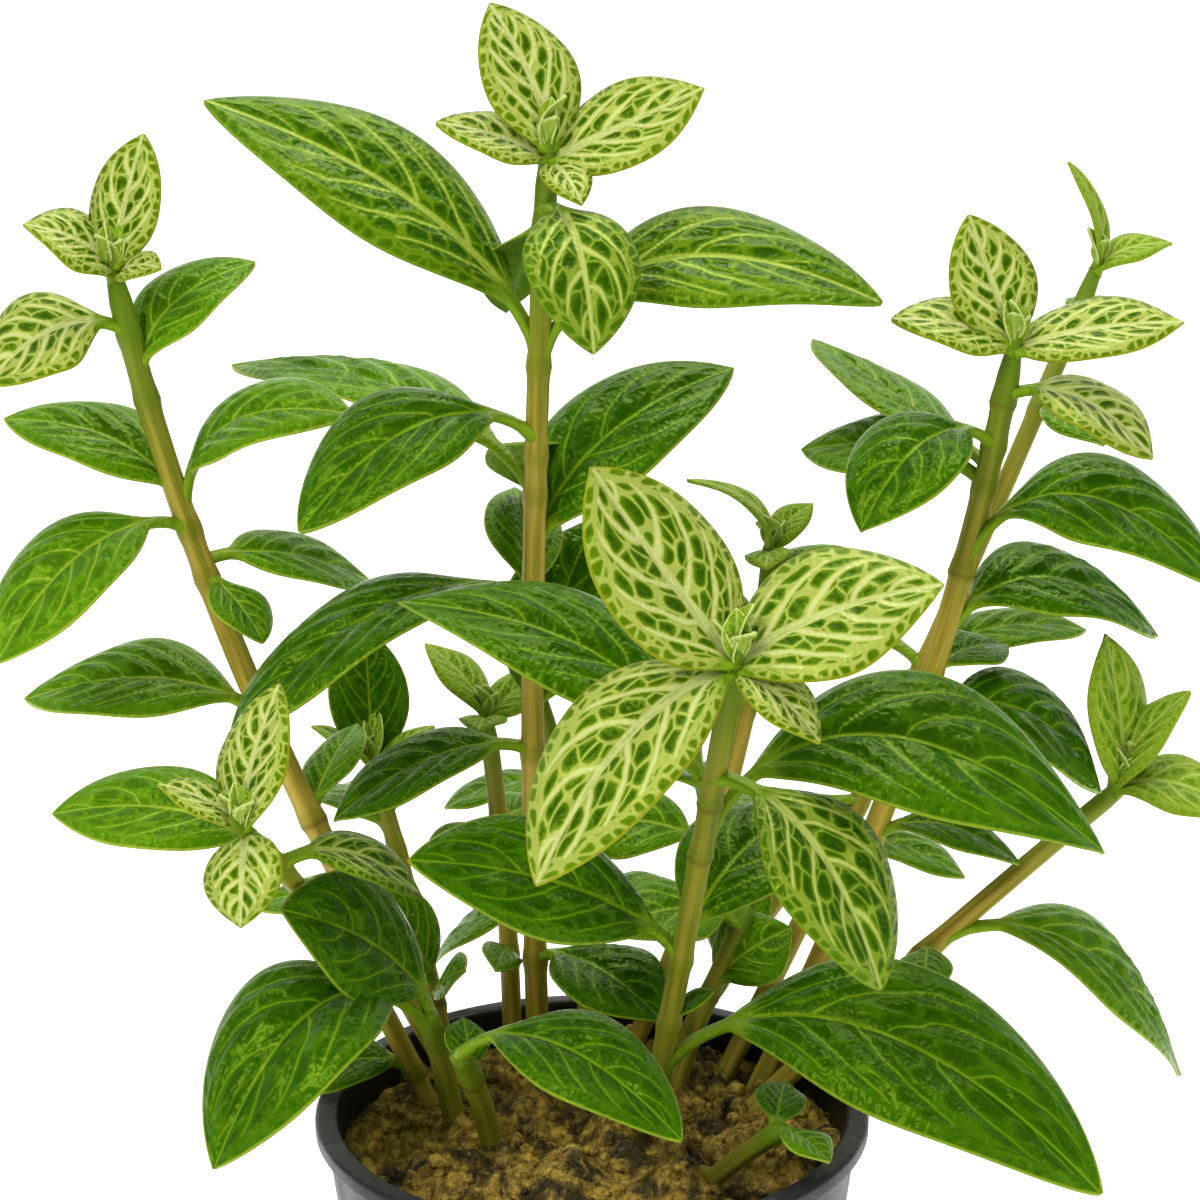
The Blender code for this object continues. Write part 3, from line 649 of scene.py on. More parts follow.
def stem_mesh(key, stem):
    """A stem as rings of points, slightly four-sided, with what its finish has to know at each."""
    heights, radii, node, scar, age = stem_growth(stem)
    centres = stem_points(stem, heights)
    forward = np.gradient(centres, axis=0)
    forward /= np.linalg.norm(forward, axis=1)[:, None]
    right = np.cross(forward, (0, 1, 0))
    right /= np.linalg.norm(right, axis=1)[:, None]
    ahead = np.cross(forward, right)
    angles = 2 * np.pi * np.arange(STEM_SIDES) / STEM_SIDES
    squarish = 1 + 0.045 * np.cos(4 * angles) + 0.02 * np.cos(7 * angles + 1)
    outward = np.cos(angles)[None, :, None] * right[:, None, :]
    outward = outward + np.sin(angles)[None, :, None] * ahead[:, None, :]
    rings = centres[:, None, :] + (radii[:, None] * squarish[None, :])[..., None] * outward
    mesh = bpy.data.meshes.new("stem_" + key)
    mesh.from_pydata((rings.reshape(-1, 3) * MM).tolist(), [], tube_faces(0, len(heights), STEM_SIDES))
    green = np.maximum(age, GREENER.get(key, 0))
    save_attribute(mesh, "growth", np.repeat(np.stack([node, green, scar], 1), STEM_SIDES, axis=0))
    turn, height = np.meshgrid(angles, heights)
    straight = np.stack([stem.radius * np.cos(turn), stem.radius * np.sin(turn), height], -1) * MM
    save_attribute(mesh, "straight", straight.reshape(-1, 3))
    return mesh


def read_attribute(finish, name):
    """The vector that a mesh keeps under a name, whole and as three separate numbers."""
    kept = finish.tree.nodes.new("ShaderNodeAttribute")
    kept.attribute_name = name
    parts = finish.tree.nodes.new("ShaderNodeSeparateXYZ")
    finish.put(parts.inputs[0], kept.outputs["Vector"])
    return kept.outputs["Vector"], parts.outputs


def stem_skin():
    """Tan bark streaked with brown, olive stripes, darker leaf scars, and green towards the tip."""
    finish = Finish("stem_skin")
    _, growth = read_attribute(finish, "growth")
    at_node, green, scar = growth["X"], growth["Y"], growth["Z"]
    straight, _ = read_attribute(finish, "straight")
    streaks = finish.grain(finish.stretch(straight, (1, 1, 0.05)), 0.5 * MM, 3.0, 0.55)
    stripes = finish.grain(finish.stretch(straight, (1, 1, 0.04)), 1.1 * MM, 2.0)
    patches = finish.grain(finish.stretch(straight, (1, 1, 0.4)), 6 * MM, 3.0)
    fine = finish.grain(finish.stretch(straight, (1, 1, 0.3)), 0.25 * MM, 2.0)
    colour = finish.blend(finish.span(streaks, 0.45, 0.72, 0.0, 0.8), paint(STEM_TAN), paint(STEM_BROWN))
    olive = finish.reckon("ADD", finish.span(stripes, 0.42, 0.6, 0.15, 0.75),
                          finish.span(at_node, 0.1, 0.9, 0.0, 0.5), clamp=True)
    olive = finish.times(olive, finish.span(patches, 0.35, 0.65, 0.5, 1.0))
    colour = finish.blend(olive, colour, paint(STEM_OLIVE))
    colour = finish.blend(finish.span(green, 0.6, 1.0, 0.0, 0.9), colour, paint(STEM_GREEN))
    colour = finish.blend(finish.span(scar, 0.35, 0.95, 0.0, 0.5), colour, paint(STEM_SCAR))
    rough = finish.span(patches, 0.3, 0.7, 0.42, 0.56)
    ribs = finish.relief(streaks, 0.06 * MM, finish.relief(fine, 0.02 * MM))
    return finish.done(colour, rough, finish.relief(stripes, 0.10 * MM, ribs), 0.2)


stem_finish = stem_skin()
for key, stem in STEMS.items():
    new_piece("stem_" + key, stem_mesh(key, stem), stem_finish, "green_leaf", "stem_" + key)


# The leaves
# A leaf is one thin blade on a short grooved petiole that springs from its node. Its midrib is sunk on
# top and stands out below, side veins arch forward from it, and the blade puffs up between them.

PETIOLE = 0.14
PETIOLE_RADIUS = 0.72
BLADE_THICK = 0.34
FOLD = 0.32
CURL = 0.30
LEAF_STEP = 0.46
LEAF_ROWS = (16, 92)
HALF_COLUMNS = (5, 19)
MIDRIB_CROWD = 0.28
FULL_PUFF_WIDTH = 11.0
MIDRIB_DEPTH = 0.62
MIDRIB_GROOVE = 0.20
SIDE_RIB_DEPTH = 0.10
EDGE_SWAY = 0.022
VEIN_PAIRS = 4.9
VEIN_SWEEP = (0.18, 0.38)
VEIN_SKEW = 0.75
SIDE_SHIFT = 0.37
USUAL_WIDTH = 13.0
NET_SIZES = (0.5, 1.1)
LOOP_INSET = 1.3
OUTER_CELL = 1.3
TINY_CELL = 0.75
LEAF_GLOSS = 0.45
LEAF_SHEEN = (0.72, 0.92, 0.12, 1.0)
PETIOLE_GREEN = (118, 146, 34)

# How a blade looks. Its colours are those of the cells between the veins, from their dark middles
# (dark, light) to their edges (halo), and those of the fine net, the veins, the margin and the
# underside. Then come the widths of the midrib, the side veins and the net, with the share of colour
# that the last two take, and the rows of cells between two side veins and a cell's length (rank). The
# last say how plain the finest net is, how far all fades towards the tip, how high the blade puffs up
# and its skin quilts, and how rough it is. Lengths are in millimetres.
Look = namedtuple("Look", "dark light halo net vein margin under midrib side side_share net_wide net_share "
                          "rows rank fine fade puff quilt rough")
LOOKS = {
    "mature": Look(
        dark=(40, 81, 1), light=(50, 94, 1), halo=(60, 104, 2), net=(82, 124, 8), vein=(126, 154, 30),
        margin=(132, 152, 44), under=(104, 138, 44), midrib=0.42, side=0.16, side_share=0.85,
        net_wide=0.0, net_share=0.35, rows=2.2, rank=2.8, fine=0.1, fade=0.3, puff=0.55, quilt=0.14,
        rough=0.24),
    "fresh": Look(
        dark=(62, 104, 3), light=(76, 120, 5), halo=(86, 130, 9), net=(106, 146, 22),
        vein=(152, 174, 58), margin=(150, 168, 58), under=(118, 148, 54), midrib=0.42, side=0.17,
        side_share=0.85, net_wide=0.0, net_share=0.35, rows=2.2, rank=2.8, fine=0.1, fade=0.3,
        puff=0.55, quilt=0.14, rough=0.26),
    "faded": Look(
        dark=(34, 76, 1), light=(54, 96, 3), halo=(82, 118, 8), net=(114, 140, 28), vein=(162, 178, 78),
        margin=(110, 138, 34), under=(120, 146, 54), midrib=0.8, side=0.3, side_share=0.9,
        net_wide=0.08, net_share=0.7, rows=1.9, rank=2.4, fine=0.12, fade=0.75, puff=0.32, quilt=0.14,
        rough=0.26),
    "veined": Look(
        dark=(30, 70, 1), light=(52, 92, 3), halo=(84, 118, 10), net=(140, 156, 60),
        vein=(176, 186, 106), margin=(104, 132, 28), under=(122, 148, 56), midrib=0.9, side=0.32,
        side_share=1.0, net_wide=0.12, net_share=0.85, rows=1.75, rank=2.3, fine=0.12, fade=0.3,
        puff=0.3, quilt=0.14, rough=0.26),
    "young": Look(
        dark=(36, 74, 1), light=(60, 98, 3), halo=(98, 128, 10), net=(162, 172, 86),
        vein=(188, 193, 128), margin=(134, 140, 18), under=(150, 168, 76), midrib=1.05, side=0.42,
        side_share=1.0, net_wide=0.22, net_share=0.95, rows=1.7, rank=2.2, fine=0.15, fade=0.1,
        puff=0.24, quilt=0.12, rough=0.28),
    "bud": Look(
        dark=(64, 106, 6), light=(96, 134, 16), halo=(128, 158, 38), net=(156, 176, 74),
        vein=(184, 194, 114), margin=(200, 208, 144), under=(150, 172, 80), midrib=0.8, side=0.3,
        side_share=0.7, net_wide=0.1, net_share=0.5, rows=1.6, rank=2.4, fine=0.1, fade=0.1, puff=0.1,
        quilt=0.06, rough=0.32),
    "pale": Look(
        dark=(84, 120, 16), light=(104, 138, 28), halo=(124, 152, 40), net=(146, 166, 62),
        vein=(166, 180, 90), margin=(134, 150, 40), under=(138, 158, 60), midrib=0.8, side=0.34,
        side_share=0.8, net_wide=0.1, net_share=0.5, rows=1.6, rank=2.2, fine=0.1, fade=0.2, puff=0.18,
        quilt=0.1, rough=0.4),
}


def smooth(share):
    share = np.clip(share, 0, 1)
    return share * share * (3 - 2 * share)


def ridge(distance, reach):
    """1 on a line, falling off smoothly within this reach of it."""
    return np.exp(-(distance / reach) ** 2)


def leaf_axes(leaf):
    """Unit vectors of a leaf: along its chord, across its blade, and upward from the chord."""
    azimuth, rise, roll = (math.radians(angle) for angle in (leaf.azimuth, leaf.rise, leaf.roll))
    level_share = math.cos(rise)
    along = np.array([level_share * math.cos(azimuth), level_share * math.sin(azimuth), math.sin(rise)])
    level = np.array([math.sin(azimuth), -math.cos(azimuth), 0.0])
    upward = np.cross(level, along)
    return along, math.cos(roll) * level + math.sin(roll) * upward, upward


def midrib(leaf, root, shares):
    """Points of the arched midrib at shares of the chord, 0 on the stem and 1 at the tip."""
    along, _, upward = leaf_axes(leaf)
    late = np.maximum(shares, 0) ** 0.8
    arch = 4 * late * (1 - late) * leaf.bow
    return root + leaf.length * (shares[:, None] * along + arch[:, None] * upward)


def midrib_frame(leaf, root, shares):
    """The midrib's points, and at each the unit vectors across the blade and out of its face."""
    step = midrib(leaf, root, shares + 0.01) - midrib(leaf, root, shares - 0.01)
    tangent = step / np.linalg.norm(step, axis=1)[:, None]
    side = np.tile(leaf_axes(leaf)[1], (len(shares), 1))
    side -= (side * tangent).sum(1)[:, None] * tangent
    side /= np.linalg.norm(side, axis=1)[:, None]
    return midrib(leaf, root, shares), side, np.cross(side, tangent)


def half_widths(leaf, shares, young):
    """Half the blade's width at shares of its length: an egg shape drawn out to a tip."""
    rear, front = (0.78, 0.88) if young else (0.82, 0.86)
    peak = rear / (rear + front)
    shape = np.clip(shares, 0, 1) ** rear * (1 - np.clip(shares, 0, 1)) ** front
    return leaf.width / 2 * shape / (peak ** rear * (1 - peak) ** front)


def for_both_faces(*parts):
    """Three values as a vector for each point of a blade's upper face, and again for its lower one."""
    values = np.stack([np.broadcast_to(part, parts[0].shape) for part in parts], -1).reshape(-1, 3)
    return np.concatenate([values, values])


class Blade:
    """A leaf as a grid of points, with rows along it and columns across it, in millimetres."""

    def __init__(self, leaf, young, seed):
        self.leaf = leaf
        self.look = LOOKS[leaf.look]
        self.seed = seed
        self.petiole = 0.0 if young else PETIOLE
        self.length = leaf.length * (1 - self.petiole)
        self.rows = int(np.clip(round(leaf.length / LEAF_STEP), *LEAF_ROWS))
        self.columns = 2 * int(np.clip(round(leaf.width / LEAF_STEP / 2), *HALF_COLUMNS))
        self.shares = np.linspace(0, 1, self.rows + 1)
        spread = np.linspace(-1, 1, self.columns + 1)
        self.across = spread * (1 - MIDRIB_CROWD + MIDRIB_CROWD * spread ** 2)
        late = (self.shares - self.petiole) / (1 - self.petiole)
        self.stalk = min(PETIOLE_RADIUS, 0.18 + 0.12 * leaf.width)
        stalk = self.stalk * (1 + 0.45 * (1 - smooth(self.shares / 0.06)))
        stalk = stalk * (1 - 0.93 * smooth(late / 0.45))
        half = (half_widths(leaf, late, young) ** 3 + stalk ** 3) ** (1 / 3)
        self.v, self.b = np.meshgrid(self.across, late)
        self.half = np.broadcast_to(half[:, None], self.v.shape)
        self.reach = np.abs(self.v) * self.half
        self.margin = self.half - self.reach
        self.opened = smooth(self.b / 0.12)
        self.lay_veins()

    def lay_veins(self):
        """Side veins: how many a point is past, how far they lean forward there, and their spacing."""
        v = np.abs(self.v)
        pairs = VEIN_PAIRS + 0.5 * math.sin(self.seed)
        wobble = 0.16 * np.sin(6 * self.b + self.seed) + 0.06 * np.sin(3.5 * v + 3 * self.seed)
        slope = (VEIN_SWEEP[0] + 2 * VEIN_SWEEP[1] * v) / np.maximum(self.half, 0.3)
        self.lean = VEIN_SWEEP[0] * v + VEIN_SWEEP[1] * v * v
        self.passed = pairs * (self.b - self.lean) + wobble + 3
        self.spacing = 1 / (pairs * np.hypot(1 / self.length, slope))
        off = np.abs((self.passed + SIDE_SHIFT * (self.v > 0) + 0.5) % 1 - 0.5)
        self.to_vein = off * self.spacing

    def lift(self, fold):
        """Height over the midrib: folded up, curled down, puffed up between veins, waved at the edge."""
        v = self.v
        crease = np.sqrt(v * v + 0.0025) - 0.05
        folded = self.half * (fold * crease - CURL * v * v)
        inside = smooth(self.margin / 1.6) * smooth(self.reach / 1.2) * smooth((1 - self.b) / 0.15)
        puff = self.look.puff * (1 - ridge(self.to_vein, 0.85)) * inside
        puff = puff * min(1.0, self.leaf.width / FULL_PUFF_WIDTH)
        waves = np.sin(9.5 * self.b + 2.1 * self.seed + (v > 0) * 2.2)
        sway = EDGE_SWAY * self.leaf.width * np.abs(v) ** 3 * waves
        return (folded + puff + sway) * self.opened

    def thickness(self):
        flat = BLADE_THICK * (1 - 0.55 * np.abs(self.v) ** 6)
        flare = 1 + 0.3 * (1 - smooth((self.b + self.petiole) / 0.05))
        stalk = 1.75 * self.stalk * np.sqrt(np.maximum(1 - self.v * self.v, 0.02)) * flare
        return flat * self.opened + stalk * (1 - self.opened)

    def surfaces(self, root, fold):
        """Points of the upper face, with its groove, and of the lower one, with its ribs."""
        left = np.clip(1 - self.b, 0, 1)
        groove = MIDRIB_GROOVE * ridge(self.reach, 0.42) * left ** 0.5
        rib = MIDRIB_DEPTH * ridge(self.reach, 0.5) * left ** 0.8
        side_rib = SIDE_RIB_DEPTH * ridge(self.to_vein, 0.3)
        side_rib = side_rib * smooth(self.reach / 0.8) * smooth(self.margin / 1.5)
        lift, thick = self.lift(fold), self.thickness()
        top = lift + thick / 2 - groove
        bottom = lift - thick / 2 - (rib + side_rib) * self.opened
        centre, side, face = midrib_frame(self.leaf, root, self.shares)
        middle = centre[:, None, :] + (self.half * self.v)[..., None] * side[:, None, :]
        return [middle + height[..., None] * face[:, None, :] for height in (top, bottom)]

    def closed_mesh(self, name, upper, lower):
        """Both faces, joined round the rim, and laid out one above the other in a UV map."""
        points = self.v.size
        index = np.arange(points).reshape(self.v.shape)
        top_faces = np.stack([index[:-1, :-1], index[1:, :-1], index[1:, 1:], index[:-1, 1:]], -1)
        top_faces = top_faces.reshape(-1, 4)
        faces = [top_faces, top_faces[:, ::-1] + points]
        for line, flip in ((index[:, 0], True), (index[:, -1], False),
                           (index[0, :], False), (index[-1, :], True)):
            edge = np.stack([line[:-1], line[1:], line[1:] + points, line[:-1] + points], -1)
            faces.append(edge[:, ::-1] if flip else edge)
        faces = np.concatenate(faces)
        places = np.concatenate([upper.reshape(-1, 3), lower.reshape(-1, 3)]) * MM
        mesh = bpy.data.meshes.new(name)
        mesh.from_pydata(places.tolist(), [], faces.tolist())
        u = np.repeat(self.shares, self.columns + 1) * 0.98 + 0.01
        v = 0.232 * np.tile(self.across, self.rows + 1)
        laid_out = np.concatenate([np.stack([u, 0.25 + v], 1), np.stack([u, 0.75 + v], 1)])
        corners = laid_out[faces.ravel()]
        rim = np.arange(len(corners)) >= 8 * len(top_faces)
        rim_below = rim & (faces.ravel() >= points)
        corners[rim_below, 1] = 0.25 + (corners[rim_below, 1] - 0.75) * 1.045
        layer = mesh.uv_layers.new(name="OFBake")
        layer.data.foreach_set("uv", corners.astype(np.float32).ravel())
        return mesh

    def keep_growth(self, mesh):
        """What the finish has to know at each point, in millimetres on a leaf of the usual width."""
        size = float(np.clip((self.leaf.width / USUAL_WIDTH) ** 0.6, *NET_SIZES))
        way = np.hypot(self.reach, self.lean * self.length) + VEIN_SKEW * (self.b - self.lean) * self.length
        seed = self.seed * 1.3
        zone = for_both_faces(np.zeros_like(self.b), 1 - self.opened, self.b)
        zone[self.v.size:, 0] = 1.0
        save_attribute(mesh, "vein", for_both_faces(self.passed, way / size, self.spacing / size))
        along, across = self.b * self.length, self.v * self.half
        save_attribute(mesh, "flat", for_both_faces(along / size, across / size, seed))
        save_attribute(mesh, "zone", zone)
        save_attribute(mesh, "edge", for_both_faces(self.margin / size, seed, seed))


def leaf_mesh(name, leaf, root, young, seed, fold=FOLD):
    """One closed blade with its petiole, which a young leaf doesn't have."""
    blade = Blade(leaf, young, seed)
    mesh = blade.closed_mesh(name, *blade.surfaces(root, fold))
    blade.keep_growth(mesh)
    return mesh


class LeafFinish(Finish):
    """The finish of a blade. Distances are in millimetres on a leaf of the usual width."""

    def __init__(self, name, look):
        super().__init__(name)
        self.look = look
        _, self.vein = read_attribute(self, "vein")
        self.flat, self.spot = read_attribute(self, "flat")
        _, self.zone = read_attribute(self, "zone")
        _, edge = read_attribute(self, "edge")
        self.from_edge = edge["X"]
        self.sway = self.minus(self.grain(self.flat, 3.2, 1.0), 0.5)
        self.swell = self.span(self.grain(self.flat, 1.7, 1.0), 0.3, 0.7, 0.7, 1.3)
        self.fade = self.span(self.zone["Z"], 0.35, 1.0, 1.0, 1 - look.fade)
        self.blotch = self.grain(self.flat, 4.0, 4.0, 0.6)

    def from_wall(self, across, along, room):
        """How far a point is inside a rounded cell of an irregular net; the net's walls are at 0."""
        joined = self.tree.nodes.new("ShaderNodeCombineXYZ")
        self.put(joined.inputs[0], across)
        self.put(joined.inputs[1], along)
        distances = []
        for feature in ("DISTANCE_TO_EDGE", "F1"):
            cells = self.tree.nodes.new("ShaderNodeTexVoronoi")
            cells.voronoi_dimensions = "2D"
            cells.feature = feature
            self.put(cells.inputs["Vector"], joined.outputs[0])
            self.put(cells.inputs["Scale"], 1.0)
            self.put(cells.inputs["Randomness"], 0.75)
            distances.append(self.times(cells.outputs["Distance"], room))
        to_wall, from_middle = distances
        return self.near(to_wall, self.minus(0.62 * room, from_middle), 0.3)

    def even_cells(self, across, along, room):
        return self.from_wall(self.over(across, room), self.over(along, room), room)

    def from_midrib(self):
        """The midrib slims towards the tip."""
        half = self.span(self.zone["Z"], 0.0, 1.0, 0.5 * self.look.midrib, 0.16 * self.look.midrib)
        return self.minus(self.size_of(self.spot["Y"]), half)

    def veins_passed(self):
        """Counts the side veins up to a point: each is a whole number, other ones on each side."""
        other_side = self.times(self.reckon("GREATER_THAN", self.spot["Y"], 0.0), 20 + SIDE_SHIFT)
        return self.plus(self.plus(self.vein["X"], other_side), self.times(self.sway, 0.3))

    def from_side_vein(self, passed):
        """The side veins slim towards the edge and fade towards the tip."""
        off = self.size_of(self.minus(self.reckon("FRACT", self.plus(passed, 0.5)), 0.5))
        half = self.span(self.from_edge, 0.5, 5.0, 0.28 * self.look.side, 0.5 * self.look.side)
        half = self.times(self.times(half, self.swell), self.fade)
        return self.minus(self.times(off, self.vein["Z"]), half)

    def from_net(self, passed, to_side, past_loop):
        """Cells in rows between the side veins, and even ones outside the loop that ends them."""
        between = self.reckon("FRACT", passed)
        order = self.reckon("FLOOR", passed)
        strip = self.over(self.times(between, self.vein["Z"]), self.look.rows)
        strip = self.plus(strip, self.times(order, 7.31))
        rank = self.plus(self.over(self.vein["Y"], self.look.rank), self.times(order, 3.3))
        rank = self.plus(rank, self.times(self.sway, 0.8))
        inner = self.near(self.from_wall(strip, rank, self.look.rank), to_side, 0.3)
        outer = self.even_cells(self.spot["X"], self.from_edge, OUTER_CELL)
        outside = self.reckon("LESS_THAN", past_loop, 0.0)
        cells = self.plus(self.times(outer, outside), self.times(inner, self.minus(1.0, outside)))
        to_loop = self.minus(self.size_of(past_loop), 0.08)
        half = self.times(self.times(self.swell, 0.5 * self.look.net_wide), self.fade)
        return self.minus(self.near(cells, to_loop, 0.25), half)

    def cell_colour(self, to_any, tiny):
        """Deep green in the middle of a cell, lighter near its walls, near the edge and in specks."""
        look, from_edge = self.look, self.from_edge
        speckle = self.grain(self.flat, 0.35, 3.0, 0.6)
        deep = self.times(self.span(to_any, 0.05, 0.6), self.span(self.blotch, 0.3, 0.6, 0.6, 1.0))
        deep = self.times(deep, self.span(from_edge, 0.4, 1.6, 0.3, 1.0))
        colour = self.blend(deep, paint(look.light), paint(look.dark))
        colour = self.blend(self.span(speckle, 0.42, 0.7, 0.0, 0.35), colour, paint(look.light))
        colour = self.blend(self.span(tiny, 0.1, 0.0, 0.0, look.fine), colour, paint(look.halo))
        near_edge = self.span(from_edge, 1.6, 0.4, 0.0, 0.7)
        near_edge = self.times(near_edge, self.span(self.blotch, 0.4, 0.6, 0.3, 1.0))
        colour = self.blend(near_edge, colour, paint(look.halo))
        return self.blend(self.span(to_any, 0.42, 0.02, 0.0, 0.75), colour, paint(look.halo))

    def vein_colour(self, colour, to_midrib, to_side, to_any):
        """The pale net, the paler side veins over it, and the midrib with its fine long lines."""
        look = self.look
        net = self.times(self.span(to_any, 0.13, -0.05, 0.0, look.net_share), self.fade)
        colour = self.blend(net, colour, paint(look.net))
        veins = self.times(self.span(to_side, 0.12, -0.10, 0.0, look.side_share), self.fade)
        veins = self.reckon("MAXIMUM", veins, self.span(to_midrib, 0.12, -0.10))
        colour = self.blend(veins, colour, paint(look.vein))
        lengthwise = self.stretch(self.flat, (0.08, 1, 1))
        lines = self.span(self.grain(lengthwise, 0.16, 1.0), 0.45, 0.7, 0.0, 0.4)
        lines = self.times(lines, self.span(to_midrib, 0.02, -0.1))
        return self.blend(lines, colour, paint(look.halo))

    def outer_colour(self, colour):
        """The thin margin, the dull underside and the green petiole."""
        look, below, on_petiole = self.look, self.zone["X"], self.zone["Y"]
        colour = self.blend(self.span(self.from_edge, 0.30, 0.10, 0.0, 0.9), colour, paint(look.margin))
        colour = self.blend(self.times(below, 0.72), colour, paint(look.under))
        return self.blend(self.span(on_petiole, 0.0, 0.8), colour, paint(PETIOLE_GREEN))


def leaf_skin(name, look):
    """Waxy and veined above, dull below; the cells stand up between the sunk veins."""
    finish = LeafFinish(name, look)
    passed = finish.veins_passed()
    to_midrib = finish.from_midrib()
    to_side = finish.from_side_vein(passed)
    loop_at = finish.plus(LOOP_INSET, finish.times(finish.sway, 2.0))
    past_loop = finish.minus(finish.from_edge, loop_at)
    to_net = finish.from_net(passed, to_side, past_loop)
    to_side = finish.plus(to_side, finish.span(past_loop, 0.25, -0.35, 0.0, 0.8))
    to_any = finish.near(finish.near(to_midrib, to_side, 0.3), to_net, 0.2)
    tiny = finish.even_cells(finish.spot["X"], finish.spot["Y"], TINY_CELL)
    colour = finish.cell_colour(to_any, tiny)
    colour = finish.vein_colour(colour, to_midrib, to_side, to_any)
    colour = finish.outer_colour(colour)
    rough = finish.span(finish.blotch, 0.3, 0.7, look.rough, look.rough + 0.14)
    rough = finish.plus(rough, finish.times(finish.zone["X"], 0.2))
    crinkle = finish.relief(finish.grain(finish.flat, 0.5, 3.0, 0.6), 0.05 * MM)
    grit = finish.relief(finish.span(tiny, 0.0, 0.25), 0.035 * MM, crinkle)
    quilt = finish.relief(finish.span(to_any, -0.1, 0.8), look.quilt * MM, grit)
    finish.put(finish.shader.inputs["Specular Tint"], LEAF_SHEEN)
    return finish.done(colour, rough, quilt, LEAF_GLOSS)


leaf_finishes = {name: leaf_skin(name + "_leaf_skin", look) for name, look in LOOKS.items()}
for order, (key, stem) in enumerate(STEMS.items()):
    for index, leaf in enumerate(stem.leaves):
        name = "leaf_%s_%d" % (key, index)
        mesh = leaf_mesh(name, leaf, leaf_root(stem, leaf), False, 1.7 * index + 5.3 * order)
        new_piece(name, mesh, leaf_finishes[leaf.look], "green_leaf", "stem_" + key)


# The crowns
# Each stem ends in a few soft young leaves, pale with a wide cream net of veins, which sit on the
# growing tip without stalks. The youngest are still folded together into a small upright bud.

BUD_LENGTH = 5.6
BUD_WIDTH = 3.3
BUD_BOW = 0.12
BUD_FOLD = 0.7
BUD_STEP = 0.3
BUD_TURN = 31
FULL_CROWN = 15.0
# The bud's leaves: azimuth, rise, and size as a share of the longest.
BUD = [(349, 72, 1.0), (129, 60, 0.75), (59, 80, 0.8), (249, 55, 0.5), (289, 48, 0.55)]


def bud_leaves(stem, order):
    """The folded leaves of a stem's bud, which turns from one stem to the next."""
    top = max(leaf.height for leaf in stem.crown)
    size = min(1.0, stem.crown[0].length / FULL_CROWN)
    for index, (azimuth, rise, share) in enumerate(BUD):
        yield Leaf(top + BUD_STEP * index, azimuth + BUD_TURN * order, rise, BUD_LENGTH * size * share,
                   BUD_WIDTH * size * share, BUD_BOW, 0, "bud")


for order, (key, stem) in enumerate(STEMS.items()):
    for index, leaf in enumerate(stem.crown):
        name = "young_%s_%d" % (key, index)
        mesh = leaf_mesh(name, leaf, leaf_root(stem, leaf), True, 2.9 * index + 3.7 * order + 1)
        new_piece(name, mesh, leaf_finishes[leaf.look], "pale_leaf", "crown_" + key)
    if not stem.crown:
        continue
    for index, leaf in enumerate(bud_leaves(stem, order)):
        name = "bud_%s_%d" % (key, index)
        mesh = leaf_mesh(name, leaf, leaf_root(stem, leaf), True, index + 2.3 * order, BUD_FOLD)
        new_piece(name, mesh, leaf_finishes["bud"], "pale_leaf", "crown_" + key)


# The studio
# A white floor that sweeps up behind, a broad soft light above on the left, a weaker one on the
# right, one from above and a bright even room. The camera looks down on the plant by 16 degrees.

FLOOR_HALF = 1.6
SWEEP_BACK = 1.2
SWEEP_HEIGHT = 1.6
SWEEP_ROUND = 0.5
SWEEP_GLOW = 0.35
SWEEP_WHITE = (250, 250, 249)
SWEEP_GREY = (247, 247, 247)
WHITE_LIGHT = (1.0, 1.0, 1.0, 1.0)
ROOM_LIGHT = 0.36
Lamp = namedtuple("Lamp", "place size power")
LAMPS = {
    "key_light": Lamp((-0.5, -0.55, 0.75), 0.6, 5.2),
    "fill_light": Lamp((0.7, -0.6, 0.4), 0.6, 1.6),
    "top_light": Lamp((0.1, 0.25, 0.9), 0.7, 4.5),
}
LAMP_TARGET = Vector((0, 0, 0.08))
FOCAL_LENGTH = 90.0
CAMERA_TILT = 16.0
CAMERA_PLACE = Vector((0.783, -268.519, 178.288)) * MM


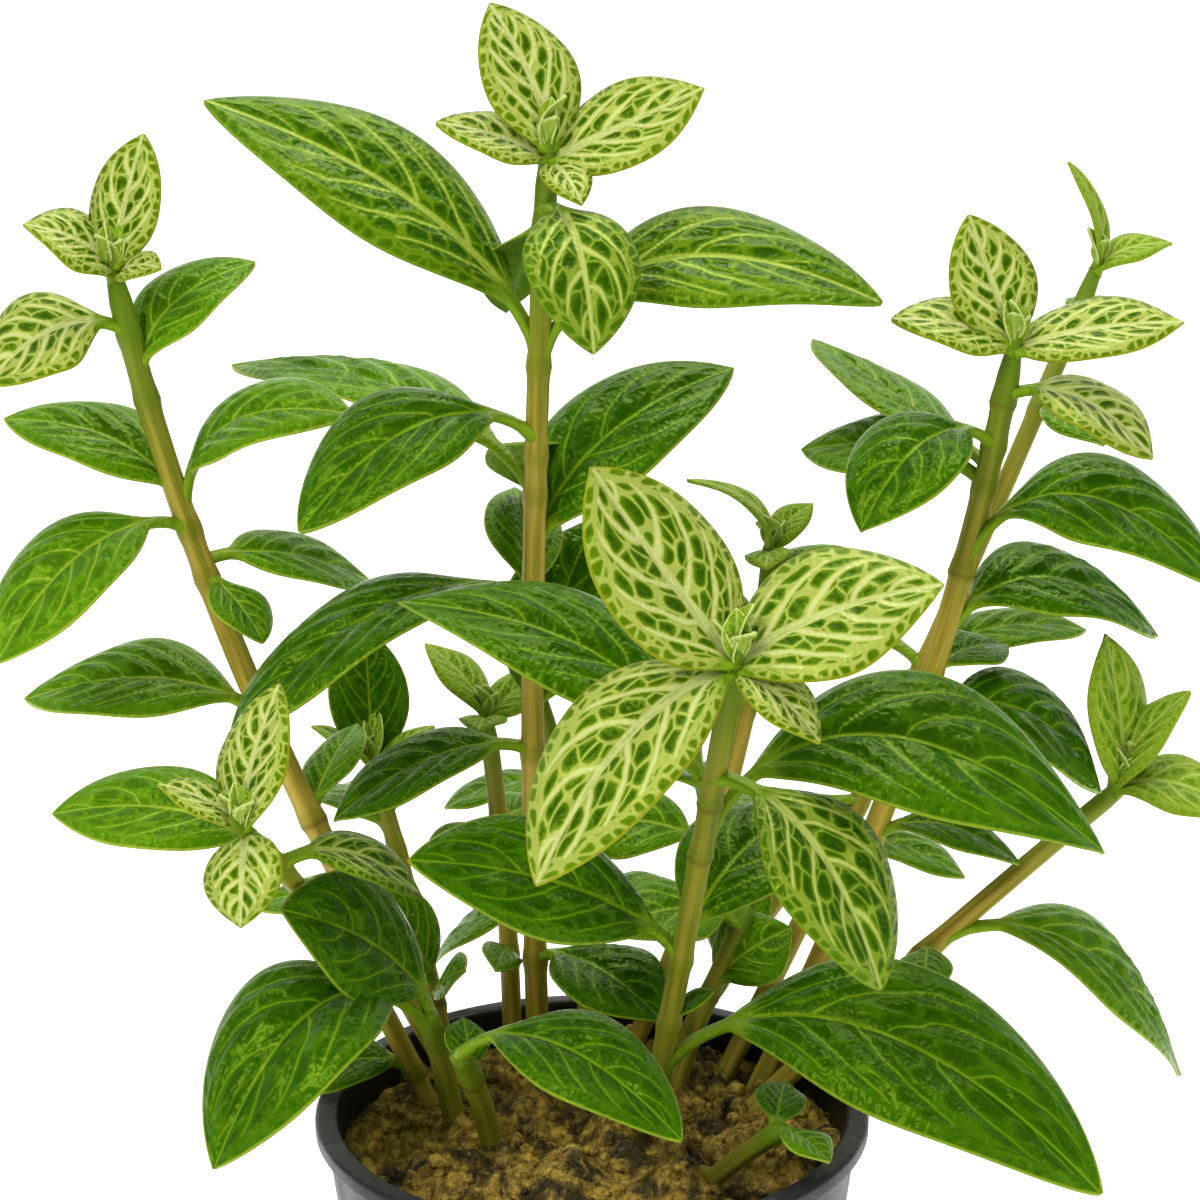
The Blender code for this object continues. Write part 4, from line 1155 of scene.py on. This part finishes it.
def studio_sweep():
    line = [(-FLOOR_HALF, 0.0), (0.0, 0.0), (SWEEP_BACK - SWEEP_ROUND, 0.0)]
    line += arc((SWEEP_BACK - SWEEP_ROUND, SWEEP_ROUND), SWEEP_ROUND, -90, 0, 16)
    line.append((SWEEP_BACK, SWEEP_HEIGHT))
    places = [(x, y, z) for y, z in line for x in (-FLOOR_HALF, FLOOR_HALF)]
    faces = [(2 * k, 2 * k + 1, 2 * k + 3, 2 * k + 2) for k in range(len(line) - 1)]
    mesh = bpy.data.meshes.new("studio_sweep")
    mesh.from_pydata(places, [], faces)
    mesh.shade_smooth()
    finish = Finish("white_sweep")
    tone = finish.grain(finish.place(), 0.5, 2.0)
    colour = finish.blend(tone, paint(SWEEP_WHITE), paint(SWEEP_GREY))
    finish.put(finish.shader.inputs["Emission Color"], WHITE_LIGHT)
    finish.put(finish.shader.inputs["Emission Strength"], SWEEP_GLOW)
    mesh.materials.append(finish.done(colour, 0.9))
    item = bpy.data.objects.new("studio_sweep", mesh)
    bpy.context.scene.collection.objects.link(item)


def soft_light(name, lamp):
    """A round lamp that faces the plant."""
    light = bpy.data.lights.new(name, "AREA")
    light.shape = "DISK"
    light.size = lamp.size
    light.energy = lamp.power
    item = bpy.data.objects.new(name, light)
    item.location = lamp.place
    item.rotation_mode = "QUATERNION"
    item.rotation_quaternion = (LAMP_TARGET - Vector(lamp.place)).to_track_quat("-Z", "Y")
    bpy.context.scene.collection.objects.link(item)


studio_sweep()
for name, lamp in LAMPS.items():
    soft_light(name, lamp)
world = bpy.data.worlds.new("bright_room")
world.use_nodes = True
room = world.node_tree.nodes["Background"]
room.inputs["Color"].default_value = WHITE_LIGHT
room.inputs["Strength"].default_value = ROOM_LIGHT
bpy.context.scene.world = world
bpy.context.scene.view_settings.view_transform = "Standard"
bpy.context.scene.view_settings.look = "Medium High Contrast"

lens = bpy.data.cameras.new("photo_camera")
lens.lens = FOCAL_LENGTH
lens.sensor_width = 36.0
lens.clip_start = 0.01
lens.clip_end = 20.0
camera = bpy.data.objects.new("photo_camera", lens)
camera.location = CAMERA_PLACE
camera.rotation_euler = (math.radians(90 - CAMERA_TILT), 0.0, 0.0)
bpy.context.scene.collection.objects.link(camera)
bpy.context.scene.camera = camera
